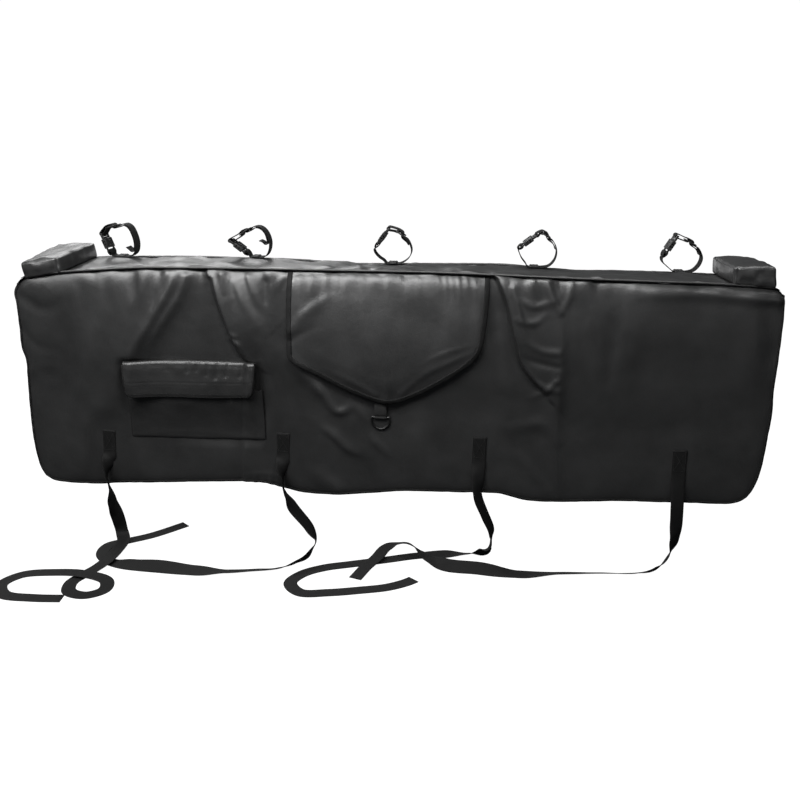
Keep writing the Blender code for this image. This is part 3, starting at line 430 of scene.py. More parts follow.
def read_raster(g, x, z):
    x, z = np.asarray(x, float), np.asarray(z, float)
    u = np.clip((x - RX[0]) / (RX[1] - RX[0]), 0, len(RX) - 1.001)
    v = np.clip((z - RZ[0]) / (RZ[1] - RZ[0]), 0, len(RZ) - 1.001)
    i, j = u.astype(int), v.astype(int)
    a, b = u - i, v - j
    return (g[i, j] * (1 - a) * (1 - b) + g[i + 1, j] * a * (1 - b)
            + g[i, j + 1] * (1 - a) * b + g[i + 1, j + 1] * a * b)


def front_at(x, z):
    """y of the front cover's face."""
    return FRONT_Y - read_raster(RELIEF, x, z)


# ------------------------------------------------------------------ materials
def material(name):
    m = bpy.data.materials.new(name)
    m.use_nodes = True
    nt = m.node_tree
    nt.nodes.clear()
    out = nt.nodes.new("ShaderNodeOutputMaterial")
    sh = nt.nodes.new("ShaderNodeBsdfPrincipled")
    nt.links.new(sh.outputs[0], out.inputs[0])
    return m, nt, sh


def node(nt, kind, _set=None, **inputs):
    n = nt.nodes.new(kind)
    for k, v in (_set or {}).items():
        setattr(n, k, v)
    for k, v in inputs.items():
        sock = n.inputs[int(k[1:])] if k[0] == "i" and k[1:].isdigit() else n.inputs[k]
        if hasattr(v, "is_output"):
            nt.links.new(v, sock)
        else:
            sock.default_value = v
    return n


def ramp(nt, fac, stops):
    n = nt.nodes.new("ShaderNodeValToRGB")
    nt.links.new(fac, n.inputs[0])
    el = n.color_ramp.elements
    while len(el) < len(stops):
        el.new(0.5)
    for e, (p, c) in zip(el, stops):
        e.position = p
        e.color = (*(c if isinstance(c, (tuple, list)) else (c, c, c)), 1)
    return n.outputs[0]


def math_node(nt, op, a, b=0.5):
    n = nt.nodes.new("ShaderNodeMath")
    n.operation = op
    for k, v in enumerate((a, b)):
        if hasattr(v, "is_output"):
            nt.links.new(v, n.inputs[k])
        else:
            n.inputs[k].default_value = v
    return n.outputs[0]


def coat_fabric(name, low, high, rough, grain=0.00012, crinkle=0.0004, spec=0.5, tint=(1, 1, 1)):
    """Coated cloth: a fine pebbled grain over soft small crinkles."""
    m, nt, sh = material(name)
    co = node(nt, "ShaderNodeTexCoord").outputs["Object"]
    cloud = node(nt, "ShaderNodeTexNoise", Vector=co, Scale=14.0, Detail=4.0, Roughness=0.6).outputs[0]
    fine = node(nt, "ShaderNodeTexNoise", Vector=co, Scale=420.0, Detail=3.0, Roughness=0.65).outputs[0]
    cell = node(nt, "ShaderNodeTexVoronoi", {"feature": "SMOOTH_F1"}, Vector=co, Scale=780.0, Smoothness=0.6).outputs[0]
    soft = node(nt, "ShaderNodeTexNoise", Vector=co, Scale=55.0, Detail=3.0, Roughness=0.55, Distortion=0.6).outputs[0]
    mix = math_node(nt, "ADD", math_node(nt, "MULTIPLY", cloud, 0.6), math_node(nt, "MULTIPLY", fine, 0.4))
    lo, hi = [tuple(v * t for t in tint) for v in (low, high)]
    nt.links.new(ramp(nt, mix, [(0.30, lo), (0.70, hi)]), sh.inputs["Base Color"])
    nt.links.new(ramp(nt, cloud, [(0.3, rough - 0.05), (0.7, rough + 0.06)]), sh.inputs["Roughness"])
    sh.inputs["Specular IOR Level"].default_value = spec
    b1 = node(nt, "ShaderNodeBump", Height=soft, Strength=0.9, Distance=crinkle).outputs[0]
    b2 = node(nt, "ShaderNodeBump", Height=cell, Strength=0.9, Distance=grain, Normal=b1).outputs[0]
    nt.links.new(b2, sh.inputs["Normal"])
    return m


def woven(name, low, high, rough, pitch=0.0016, deep=0.00016, uv=True, sheen=0.1, spec=0.4):
    """Webbing or tape: ribs along the strip crossed by slanting yarns."""
    m, nt, sh = material(name)
    tc = node(nt, "ShaderNodeTexCoord")
    co = tc.outputs["UV" if uv else "Object"]
    k = 1 / pitch / 20 * 2 * math.pi * 1.0
    wave = {"wave_type": "BANDS", "wave_profile": "SIN"}
    ribs = node(nt, "ShaderNodeTexWave", dict(wave, bands_direction="Y"), Vector=co, Scale=k, Distortion=0.4,
                Detail=1.0, **{"Detail Scale": 0.4}).outputs[1]
    slant = node(nt, "ShaderNodeTexWave", dict(wave, bands_direction="DIAGONAL"), Vector=co, Scale=k * 0.8,
                 Distortion=0.3, Detail=1.0, **{"Detail Scale": 0.4}).outputs[1]
    obj = tc.outputs["Object"]
    fuzz = node(nt, "ShaderNodeTexNoise", Vector=obj, Scale=900.0, Detail=2.0, Roughness=0.7).outputs[0]
    cloud = node(nt, "ShaderNodeTexNoise", Vector=obj, Scale=18.0, Detail=3.0, Roughness=0.6).outputs[0]
    h = math_node(nt, "ADD", math_node(nt, "MULTIPLY", ribs, 0.55), math_node(nt, "MULTIPLY", slant, 0.45))
    mix = math_node(nt, "ADD", math_node(nt, "MULTIPLY", h, 0.5),
                    math_node(nt, "ADD", math_node(nt, "MULTIPLY", fuzz, 0.25), math_node(nt, "MULTIPLY", cloud, 0.25)))
    nt.links.new(ramp(nt, mix, [(0.25, low), (0.75, high)]), sh.inputs["Base Color"])
    sh.inputs["Roughness"].default_value = rough
    sh.inputs["Specular IOR Level"].default_value = spec
    sh.inputs["Sheen Weight"].default_value = sheen
    b = node(nt, "ShaderNodeBump", Height=math_node(nt, "ADD", h, math_node(nt, "MULTIPLY", fuzz, 0.4)),
             Strength=0.9, Distance=deep).outputs[0]
    nt.links.new(b, sh.inputs["Normal"])
    return m


def moulded(name, low, high, rough, bump=0.00006, metal=0.0, spec=0.5, scale=260.0):
    m, nt, sh = material(name)
    co = node(nt, "ShaderNodeTexCoord").outputs["Object"]
    fine = node(nt, "ShaderNodeTexNoise", Vector=co, Scale=scale * 4, Detail=3.0, Roughness=0.6).outputs[0]
    cloud = node(nt, "ShaderNodeTexNoise", Vector=co, Scale=scale * 0.25, Detail=4.0, Roughness=0.6).outputs[0]
    nt.links.new(ramp(nt, cloud, [(0.3, low), (0.7, high)]), sh.inputs["Base Color"])
    nt.links.new(ramp(nt, cloud, [(0.25, rough + 0.08), (0.75, rough - 0.05)]), sh.inputs["Roughness"])
    sh.inputs["Metallic"].default_value = metal
    sh.inputs["Specular IOR Level"].default_value = spec
    b = node(nt, "ShaderNodeBump", Height=fine, Strength=0.8, Distance=bump).outputs[0]
    nt.links.new(b, sh.inputs["Normal"])
    return m


def knitted(name, low, high):
    """Brushed lining: a soft nap with a faint knit."""
    m, nt, sh = material(name)
    co = node(nt, "ShaderNodeTexCoord").outputs["Object"]
    nap = node(nt, "ShaderNodeTexNoise", Vector=co, Scale=700.0, Detail=4.0, Roughness=0.75).outputs[0]
    cell = node(nt, "ShaderNodeTexVoronoi", Vector=co, Scale=520.0).outputs[0]
    cloud = node(nt, "ShaderNodeTexNoise", Vector=co, Scale=9.0, Detail=4.0, Roughness=0.6).outputs[0]
    mix = math_node(nt, "ADD", math_node(nt, "MULTIPLY", nap, 0.6), math_node(nt, "MULTIPLY", cloud, 0.4))
    nt.links.new(ramp(nt, mix, [(0.3, low), (0.7, high)]), sh.inputs["Base Color"])
    sh.inputs["Roughness"].default_value = 0.92
    sh.inputs["Specular IOR Level"].default_value = 0.2
    sh.inputs["Sheen Weight"].default_value = 0.25
    b1 = node(nt, "ShaderNodeBump", Height=cell, Strength=0.8, Distance=0.00025).outputs[0]
    b2 = node(nt, "ShaderNodeBump", Height=nap, Strength=0.8, Distance=0.0003, Normal=b1).outputs[0]
    nt.links.new(b2, sh.inputs["Normal"])
    return m


VINYL = coat_fabric("coated_cloth", 0.013, 0.023, 0.37, spec=0.6)
VINYL_BACK = coat_fabric("pocket_cloth", 0.011, 0.019, 0.40, spec=0.5)
FLAP_CLOTH = coat_fabric("flap_cloth", 0.018, 0.031, 0.38, spec=0.56)
BINDING = woven("binding_tape", 0.003, 0.009, 0.78, pitch=0.0010, deep=0.00010, uv=True, sheen=0.0, spec=0.22)
PIPING = coat_fabric("piping", 0.010, 0.022, 0.42, crinkle=0.0006)
WEBBING = woven("webbing", 0.003, 0.010, 0.74, spec=0.15, sheen=0.0)
TAB_WEB = woven("tab_webbing", 0.006, 0.018, 0.62, spec=0.35, sheen=0.03)
PLASTIC = moulded("buckle_plastic", 0.007, 0.013, 0.46, spec=0.35)
METAL = moulded("ring_metal", 0.03, 0.07, 0.42, metal=1.0, bump=0.00004)
LINING = knitted("lining", 0.020, 0.045)
THREAD = moulded("thread", 0.003, 0.009, 0.75, scale=900.0)
HOOKS = knitted("hook_and_loop", 0.008, 0.022)
FOAM = coat_fabric("foam", 0.030, 0.060, 0.9, grain=0.0003, crinkle=0.0003, spec=0.2)


def dress(ob, mat, body="pad", replaced=()):
    if ob.name[-4:-3] == ".":
        ob.name = ob.name[:-4] + "_look"
    ob.data.materials.clear()
    ob.data.materials.append(mat)
    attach(ob, body)
    if replaced:
        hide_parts(*replaced)
    return ob


def join_meshes(name, obs):
    """One object out of several, keeping their UV maps."""
    verts, faces, uvs, base = [], [], [], 0
    for ob in obs:
        me = ob.data
        co = np.empty(len(me.vertices) * 3)
        me.vertices.foreach_get("co", co)
        co = co.reshape(-1, 3)
        verts.append(co)
        faces += [[v + base for v in p.vertices] for p in me.polygons]
        if me.uv_layers:
            uv = np.empty(len(me.loops) * 2)
            me.uv_layers[0].data.foreach_get("uv", uv)
        else:
            uv = np.zeros(len(me.loops) * 2)
        uvs.append(uv)
        base += len(co)
        bpy.data.objects.remove(ob)
        bpy.data.meshes.remove(me)
    out = new_mesh(name, np.concatenate(verts), faces)
    lay = out.data.uv_layers.new(name="UVMap")
    lay.data.foreach_set("uv", np.concatenate(uvs).astype(np.float32))
    return out


def sweep(name, path, frames_a, frames_b, profile, closed=False, caps=True, uv_scale=1.0):
    """Sweep a closed profile (a, b pairs) along a path; a and b directions at every point."""
    path, A, B = (np.asarray(v, float) for v in (path, frames_a, frames_b))
    prof = np.asarray(profile, float)
    n, m = len(path), len(prof)
    if prof.ndim == 2:
        pts = path[:, None] + A[:, None] * prof[None, :, :1] + B[:, None] * prof[None, :, 1:2]
        peri = np.concatenate([[0], np.cumsum(np.linalg.norm(np.diff(prof, axis=0), axis=1))])
    else:                                            # one profile at each point
        n, m = prof.shape[:2]
        pts = path[:, None] + A[:, None] * prof[:, :, :1] + B[:, None] * prof[:, :, 1:2]
        peri = np.concatenate([[0], np.cumsum(np.linalg.norm(np.diff(prof[n // 2], axis=0), axis=1))])
    run = np.concatenate([[0], np.cumsum(np.linalg.norm(np.diff(path, axis=0), axis=1))])
    uv = np.stack(np.meshgrid(run, peri, indexing="ij"), -1).reshape(-1, 2) * uv_scale
    faces = []
    last = n if closed else n - 1
    for i in range(last):
        r0, r1 = i * m, ((i + 1) % n) * m
        for k in range(m):
            k2 = (k + 1) % m
            faces.append((r0 + k, r0 + k2, r1 + k2, r1 + k))
    if caps and not closed:
        faces.append(tuple(range(m - 1, -1, -1)))
        faces.append(tuple((n - 1) * m + k for k in range(m)))
    return tidy(new_mesh(name, pts.reshape(-1, 3), faces, uv))


def circle(r, n=10, rb=None):
    return [(r * math.cos(2 * math.pi * k / n), (rb or r) * math.sin(2 * math.pi * k / n)) for k in range(n)]


def path_frames(path, up):
    """Side and up directions along a path for a wanted up direction."""
    path = np.asarray(path, float)
    t = np.gradient(path, axis=0)
    t /= np.linalg.norm(t, axis=1, keepdims=True) + 1e-12
    up = np.broadcast_to(np.asarray(up, float), path.shape)
    u = up - t * (up * t).sum(1, keepdims=True)
    u /= np.linalg.norm(u, axis=1, keepdims=True) + 1e-12
    return np.cross(t, u), u


def strip_profile(width, thick, n=5):
    """A flat strip with rounded edges, as (across, through) pairs."""
    w, t = width / 2, thick / 2
    top = [(a, t) for a in np.linspace(-w + t, w - t, n)]
    low = [(a, -t) for a in np.linspace(w - t, -w + t, n)]
    return top + [(w - 0.3 * t, 0.7 * t), (w, 0.0), (w - 0.3 * t, -0.7 * t)] + low + [
        (-w + 0.3 * t, -0.7 * t), (-w, 0.0), (-w + 0.3 * t, 0.7 * t)]


def stitches(name, lines, pitch=0.0034, length=0.0026, r=0.00032, out=(0, -1, 0), body="pad"):
    """Rows of thread; every line is a list of points on the cloth."""
    verts, faces = [], []
    o = np.asarray(out, float)
    for line in lines:
        line = np.asarray(line, float)
        s = np.concatenate([[0], np.cumsum(np.linalg.norm(np.diff(line, axis=0), axis=1))])
        count = int(s[-1] / pitch)
        for k in range(count):
            a, c = k * pitch + (pitch - length) / 2, k * pitch + (pitch + length) / 2
            p = [np.array([np.interp(v, s, line[:, i]) for i in range(3)]) for v in (a, (a + c) / 2, c)]
            t = p[2] - p[0]
            t /= np.linalg.norm(t) + 1e-12
            w = np.cross(t, o)
            w /= np.linalg.norm(w) + 1e-12
            nn = np.cross(w, t)
            base = len(verts)
            for q, h, g in ((p[0], -0.6, 0.6), (p[1], 0.55, 1.0), (p[2], -0.6, 0.6)):
                for x, y in ((1, 0), (0.5, 0.8), (-0.5, 0.8), (-1, 0), (0, -0.8)):
                    verts.append(q + nn * r * h + w * x * r * g + nn * y * r * g)
            for i in range(2):
                for j in range(5):
                    j2 = (j + 1) % 5
                    faces.append((base + i * 5 + j, base + i * 5 + j2, base + (i + 1) * 5 + j2, base + (i + 1) * 5 + j))
            faces.append(tuple(base + j for j in range(4, -1, -1)))
            faces.append(tuple(base + 10 + j for j in range(5)))
    ob = tidy(new_mesh(name, verts, faces))
    return dress(ob, THREAD, body)


# ------------------------------------------------------------------ front panel
def in_rounded(x, z, rect, r):
    x0, x1, z0, z1 = rect
    dx = np.maximum(np.maximum(x0 + r - x, x - (x1 - r)), 0)
    dz = np.maximum(np.maximum(z0 + r - z, z - (z1 - r)), 0)
    return (dx * dx + dz * dz < r * r) & (x > x0) & (x < x1) & (z > z0) & (z < z1)


WINDOW = (-0.135, 0.135, -0.125, -0.025)
COLS, ROWS = 470, 156
fx, fz = patch(SEAM, HEM, LEFT, RIGHT, COLS, ROWS, 1.10)
fy = front_at(fx, fz)
panel_front = np.stack([fx, fy, fz], -1)
faces = grid_faces(ROWS, COLS)
centre = panel_front.reshape(-1, 3)[faces].mean(1)
faces = faces[~in_rounded(centre[:, 0], centre[:, 2], WINDOW, 0.015)]
front_panel = tidy(new_mesh("front_panel", panel_front.reshape(-1, 3), faces,
                            np.stack([fx, fz], -1).reshape(-1, 2)))
dress(front_panel, VINYL, replaced=("front_cover", "front_foam"))

# ------------------------------------------------------------------ rear panel
REAR_SEAM = centripetal(mm([(-684, -26), (-678, -17), (-668, -10), (-640, -1), (-588.9, 6.5), (-505.8, 9.6), (-375.7, 12.4),
                            (-311.6, 12), (-184.5, 11.2), (-89.4, 6.2), (34.6, 8.6), (96.6, 10), (218.6, 11.4),
                            (279.6, 7), (339.6, 3.4), (429.6, 4.6), (576.5, 3.2), (640, 0), (668, -6), (677, -12), (684, -22)]), 6)
REAR_HEM = centripetal(mm([(-641, -300), (-540, -302), (-430, -297), (-300, -299), (-195, -303), (-60, -298),
                           (60, -300), (178, -302), (300, -297), (430, -300), (542, -303), (641, -300)]), 6)
_q = [math.radians(a) for a in range(0, 91, 10)]
REAR_LEFT = centripetal([(-0.684, -0.026), (-0.687, -0.040), (-0.689, -0.10), (-0.687, -0.18)]
                        + [(-0.641 - 0.045 * math.cos(a), -0.255 - 0.045 * math.sin(a)) for a in _q], 3)
REAR_RIGHT = np.stack([-REAR_LEFT[:, 0] + 0.001, REAR_LEFT[:, 1]], 1)
RCOLS, RROWS = 330, 84
rx, rz = patch(REAR_SEAM, REAR_HEM, REAR_LEFT, REAR_RIGHT, RCOLS, RROWS, 1.06)
REAR_TABS = (-0.537, -0.195, 0.178, 0.542)


def rear_relief(x, z):
    top = np.interp(x, REAR_SEAM[:, 0], REAR_SEAM[:, 1]) - z
    h = 0.0022 * noise(x, z, 0.19, 21) + 0.0011 * noise(x, z, 0.07, 22)
    h = h + 0.0026 * noise(x + 0.12 * z, z * 0.3, 0.075, 23) * smooth(top / 0.08)
    h = h + 0.0013 * noise(x, z * 0.3, 0.016, 24) * np.exp(-top / 0.04) * smooth(top / 0.006)
    F = Folds(x, z)
    for k, xa in enumerate(REAR_TABS):
        F.ridge([(xa * 1000 - 26, -262), (xa * 1000 - 44 - 6 * k, -180), (xa * 1000 - 38, -90)], [2.4, 2.6, 0.4],
                16, 20, pixels=False)
        F.ridge([(xa * 1000 + 26, -262), (xa * 1000 + 50, -190), (xa * 1000 + 60 + 5 * k, -110)], [2.2, 2.0, 0.3],
                18, 15, pixels=False)
    F.ridge([(-400, -20), (-380, -120), (-410, -280)], [1.5, 3.0, 1.0], 24, 20, pixels=False)
    F.ridge([(-20, -20), (10, -150), (-10, -290)], [1.0, 3.4, 1.4], 26, 18, pixels=False)
    F.ridge([(350, -10), (372, -120), (350, -280)], [1.6, 2.8, 1.0], 18, 26, pixels=False)
    h = h + F.h
    calm = np.zeros_like(x)
    for xa in REAR_TABS:
        calm = np.maximum(calm, np.exp(-((x - xa) / 0.020) ** 4 - ((z + 0.285) / 0.032) ** 4))
    h = h * (1 - 0.92 * calm)
    h = h + 0.0009 - 0.0075 * np.exp(-top / 0.012)
    lx = np.interp(-z, -REAR_LEFT[:, 1], REAR_LEFT[:, 0])
    hz = np.interp(x, REAR_HEM[:, 0], REAR_HEM[:, 1])
    corner = 0.045 - np.hypot(np.maximum(np.abs(x) - 0.641, 0), np.maximum(-0.255 - z, 0))
    edge = np.minimum(np.minimum(x - lx, -lx - x), np.where(z < -0.255, np.minimum(corner, z - hz), z - hz))
    return h - 0.0050 * np.exp(-np.maximum(edge, 0) / 0.007)


REAR_RELIEF = blurred(rear_relief(*np.meshgrid(RX, RZ, indexing="ij")), 2)


def rear_at(x, z):
    return -FRONT_Y + read_raster(REAR_RELIEF, x, z)


ry = rear_at(rx, rz)
panel_rear = np.stack([rx, ry, rz], -1)
rear_panel = tidy(new_mesh("rear_panel", panel_rear.reshape(-1, 3), grid_faces(RROWS, RCOLS, True),
                           np.stack([rx, rz], -1).reshape(-1, 2)))
dress(rear_panel, VINYL_BACK, replaced=("rear_cover", "rear_foam"))

# ------------------------------------------------------------------ top strip
TY = 0.0738
LOOP_X = (-0.534, -0.267, 0.0, 0.267, 0.534)
LOOP_Y = 0.055
LOOP_DZ = (-0.001, 0.004, -0.002, -0.0025, -0.005)
CROWN = np.array(mm([(-690, -32), (-680, -20), (-667, -9), (-640, 0), (-600, 5.5), (-578, 9.5), (-534, 11.8), (-400, 15.4), (-267, 16.7),
                     (-130, 12.6), (0, 10.8), (130, 12.0), (267, 10.4), (400, 7.0), (534, 7.8), (600, 5.0),
                     (650, 1.0), (668, -3), (680, -12), (690, -24)]))


def rear_z(x):
    return np.interp(x, REAR_SEAM[:, 0], REAR_SEAM[:, 1])


def top_at(x, y):
    """z of the top cover's face."""
    x, y = np.asarray(x, float), np.asarray(y, float)
    t = (y + TY) / (2 * TY)
    zf, zr = seam_z(x) - 0.0006, rear_z(x) - 0.0006
    zc = np.interp(x, CROWN[:, 0], CROWN[:, 1])
    tc = 0.865
    z = np.where(t < tc, zf + (zc - zf) * smooth(t / tc), zc + (zr - zc) * np.clip((t - tc) / (1 - tc), 0, 1) ** 1.7)
    edge = np.minimum(t, 1 - t) * 2 * TY
    z = z + 0.0026 * (1 - np.exp(-edge / 0.006)) * np.exp(-((t - 0.15) / 0.35) ** 2) * smooth((0.600 - np.abs(x)) / 0.03)
    rough = 0.0012 * noise(x, y, 0.09, 31)
    rough = rough + 0.0030 * noise(x + 0.2 * y, y * 0.25, 0.019, 32) * np.exp(-edge / 0.035) * smooth(edge / 0.004)
    rough = rough + 0.0022 * noise(x + 0.8 * y, y * 0.6, 0.036, 33) + 0.0018 * noise(x - 0.5 * y, y * 0.8, 0.055, 34)
    calm = np.zeros_like(x)
    for lx in LOOP_X:
        calm = np.maximum(calm, np.exp(-((x - lx) / 0.024) ** 4 - ((y - LOOP_Y) / 0.018) ** 4))
    for sx in (-1, 1):
        calm = np.maximum(calm, smooth((sx * x - 0.588) / 0.01))
    return z + rough * (1 - calm) - 0.0004 * calm


tcols, trows = 500, 60
tx = np.concatenate([[-0.6862, -0.6864, -0.6862], np.linspace(-0.6845, 0.6845, tcols - 6), [0.6862, 0.6864, 0.6862]])
tv = np.linspace(0, 1, trows)
tv = tv + 0.06 * np.sin(2 * math.pi * tv) * -1
ty = -TY + 2 * TY * tv
TXG, TYG = np.meshgrid(tx, ty)
TZG = top_at(np.clip(TXG, -0.6845, 0.6845), TYG)
for j, drop in ((0, 0.008), (1, 0.004), (2, 0.0014)):
    TZG[:, j] -= drop
    TZG[:, -1 - j] -= drop
top_strip = tidy(new_mesh("top_strip", np.stack([TXG, TYG, TZG], -1).reshape(-1, 3), grid_faces(trows, tcols),
                          np.stack([TXG, TYG], -1).reshape(-1, 2)))
dress(top_strip, VINYL, replaced=("top_cover", "top_foam"))

# ------------------------------------------------------------------ lining
LCOLS = 300
lrows_f, lrows_t, lrows_r = 70, 36, 50
lxf, lzf = patch(np.stack([SEAM[:, 0], np.minimum(SEAM[:, 1] * 0.5 - 0.0085, -0.004)], 1), HEM, LEFT[4:], RIGHT[2:], LCOLS, lrows_f)
lyf = -0.0622 + 0.0010 * noise(lxf, lzf, 0.08, 41) - 0.0004
lxr, lzr = patch(np.stack([REAR_SEAM[:, 0], np.minimum(REAR_SEAM[:, 1] * 0.5 - 0.0085, -0.004)], 1), REAR_HEM, REAR_LEFT[4:],
                 REAR_RIGHT[4:], LCOLS, lrows_r)
lyr = 0.0622 + 0.0010 * noise(lxr, lzr, 0.08, 42) + 0.0004
front_l = np.stack([lxf, lyf, lzf], -1)[::-1]                    # hem to top
rear_l = np.stack([lxr, lyr, lzr], -1)
a0, b0 = front_l[-1], rear_l[0]
mid = []
for k in range(1, lrows_t):
    t = k / lrows_t
    ang = math.pi * t
    e = 0.22
    c, s_ = math.cos(ang), math.sin(ang)
    yy = -abs(c) ** e * (1 if c > 0 else -1)
    w = s_ ** e
    p = a0 * (1 - t) + b0 * t
    q = p.copy()
    q[:, 1] = (a0[:, 1] * (1 - yy) / 2 + b0[:, 1] * (1 + yy) / 2)
    low = a0[:, 2] * (1 - (yy + 1) / 2) + b0[:, 2] * (yy + 1) / 2
    roof = np.minimum(0.0004, np.minimum(np.minimum(seam_z(q[:, 0]), rear_z(q[:, 0])),
                                         np.interp(q[:, 0], CROWN[:, 0], CROWN[:, 1])) - 0.0085)
    q[:, 2] = low + w * (roof - low) + 0.0005 * noise(q[:, 0], q[:, 1] * 0 + t, 0.06, 43) * w
    mid.append(q)
lin = np.concatenate([front_l, np.array(mid), rear_l])
n = lin.shape[0]
faces = grid_faces(n, LCOLS)
centre = lin.reshape(-1, 3)[faces].mean(1)
faces = faces[~(in_rounded(centre[:, 0], centre[:, 2], WINDOW, 0.015) & (centre[:, 1] < 0))]
lining = tidy(new_mesh("lining", lin.reshape(-1, 3), faces, None))
dress(lining, LINING, replaced=("lining",))

# ------------------------------------------------------------------ edge bindings
def edge_tape(name, line, face_at, back_y, sign, leg, replaced, thick=0.0010, mat=BINDING, seed=51):
    """Tape folded round an edge: line runs with the cloth on its left as seen from -Y."""
    line = follow(line, int(np.linalg.norm(np.diff(line, axis=0), axis=1).sum() / 0.0042))
    t = np.gradient(line, axis=0)
    t /= np.linalg.norm(t, axis=1, keepdims=True)
    for _ in range(4):
        t[1:-1] = (t[:-2] + t[2:] + 2 * t[1:-1]) / 4
    t /= np.linalg.norm(t, axis=1, keepdims=True)
    inn = np.stack([-t[:, 1], t[:, 0]], 1)                       # towards the cloth
    s = np.arange(len(line)) * 0.0042
    wob = 0.0006 * noise(s, s * 0, 0.011, seed) + 0.0005 * noise(s, s * 0, 0.034, seed + 1)
    legv = leg + 0.0007 * noise(s, s * 0, 0.045, seed + 2)
    rings = []
    for k in range(len(line)):
        p, d = line[k], inn[k]

        def at(off, lift):
            q = p + d * off
            return (q[0], float(face_at(q[0], q[1])) + sign * lift, q[1])

        lg, wv = legv[k], wob[k]
        yb = back_y
        f0 = at(lg, 0.0004 + max(wv, 0))
        f1 = at(lg * 0.9, 0.0013 + wv * 0.6)
        f2 = at(lg * 0.5, 0.0017 + wv)
        f3 = at(0.0008, 0.0015)
        e = -0.0012 - wv * 0.5
        y_f, y_b = f3[1], yb
        q = p + d * (e + 0.0006)
        f4 = (q[0], y_f + (y_b - y_f) * 0.16, q[1])
        q = p + d * e
        m1 = (q[0], y_f + (y_b - y_f) * 0.45, q[1])
        m2 = (q[0], y_f + (y_b - y_f) * 0.75, q[1])
        q = p + d * 0.0005
        b3 = (q[0], yb - sign * 0.0008, q[1])
        q = p + d * (lg * 0.5)
        b2 = (q[0], yb - sign * 0.0013, q[1])
        q = p + d * lg
        b1 = (q[0], yb - sign * 0.0009, q[1])
        b0_ = (q[0], yb + sign * 0.0004, q[1])
        i2 = p + d * 0.0015
        inner_b = (i2[0], yb + sign * 0.0005, i2[1])
        g = at(0.0015, -0.0006)
        f0i = at(lg, -0.0005)
        rings.append([f0, f1, f2, f3, f4, m1, m2, b3, b2, b1, b0_, inner_b, g, f0i])
    pts = np.array(rings)
    n_, m_ = pts.shape[:2]
    fc = []
    for i in range(n_ - 1):
        for k in range(m_):
            k2 = (k + 1) % m_
            fc.append((i * m_ + k, i * m_ + k2, (i + 1) * m_ + k2, (i + 1) * m_ + k))
    fc.append(tuple(range(m_ - 1, -1, -1)))
    fc.append(tuple((n_ - 1) * m_ + k for k in range(m_)))
    uv = np.stack(np.meshgrid(s, np.linspace(0, 2 * leg + 0.014, m_), indexing="ij"), -1).reshape(-1, 2)
    ob = tidy(new_mesh(name, pts.reshape(-1, 3), fc, uv))
    dress(ob, mat, replaced=replaced)
    row = [tuple(v) for v in pts[:, 1] * 0.55 + pts[:, 2] * 0.45 + np.array([0, sign * 0.00045, 0])]
    return ob, row


front_edge = np.concatenate([LEFT[2:], HEM[1:], RIGHT[::-1][1:-2]])
rear_edge = np.concatenate([REAR_LEFT[2:], REAR_HEM[1:], REAR_RIGHT[::-1][1:-2]])
fb, frow = edge_tape("front_binding", front_edge, front_at, -0.0622, -1, 0.0050, ("front_binding",))
rb, rrow = edge_tape("rear_binding", rear_edge, rear_at, 0.0622, 1, 0.0060, ("rear_binding",), seed=61)
stitches("front_binding_thread", [frow], pitch=0.0040, length=0.0029)
stitches("rear_binding_thread", [rrow], pitch=0.0040, length=0.0029, out=(0, 1, 0))

# Binding round the window behind the flap.
wx0, wx1, wz0, wz1 = WINDOW
ring_pts = []
for cx, cz, a0_ in ((wx1 - 0.015, wz1 - 0.015, 90), (wx0 + 0.015, wz1 - 0.015, 180),
                    (wx0 + 0.015, wz0 + 0.015, 270), (wx1 - 0.015, wz0 + 0.015, 360)):
    for k in range(0, 91, 15):
        a = math.radians(a0_ - 90 + k)
        ring_pts.append((cx + 0.015 * math.cos(a), cz + 0.015 * math.sin(a)))
ring_pts = follow(np.array(ring_pts + ring_pts[:1]), 190)[:-1]
tt = np.roll(ring_pts, -1, 0) - np.roll(ring_pts, 1, 0)
tt /= np.linalg.norm(tt, axis=1, keepdims=True)
outw = np.stack([tt[:, 1], -tt[:, 0]], 1)
rings = []
for p, d in zip(ring_pts, outw):
    sec = []
    for off, side_, lift in ((0.0075, 1, -0.0004), (0.0072, 1, 0.0008), (0.0040, 1, 0.0013), (0.0005, 1, 0.0011),
                             (-0.0010, 0.8, 0.0), (-0.0014, 0.4, 0.0), (-0.0010, 0.1, 0.0), (0.0005, 0, 0.0009),
                             (0.0040, 0, 0.0012), (0.0072, 0, 0.0008), (0.0075, 0, -0.0004), (0.0012, 0.1, 0),
                             (0.0012, 0.9, 0)):
        q = p + d * off
        yf = float(front_at(*(p + d * max(off, 0.002))))
        y = -0.0624 + side_ * (yf + 0.0624)
        y += -lift if side_ == 1 else (lift if side_ == 0 else 0)
        sec.append((q[0], y, q[1]))
    rings.append(sec)
pts = np.array(rings)
n_, m_ = pts.shape[:2]
fc = [(i * m_ + k, i * m_ + (k + 1) % m_, ((i + 1) % n_) * m_ + (k + 1) % m_, ((i + 1) % n_) * m_ + k)
      for i in range(n_) for k in range(m_)]
uv = np.stack(np.meshgrid(np.arange(n_) * 0.004, np.linspace(0, 0.03, m_), indexing="ij"), -1).reshape(-1, 2)
wb = tidy(new_mesh("window_binding", pts.reshape(-1, 3), fc, uv))
dress(wb, BINDING, replaced=("window_binding",))

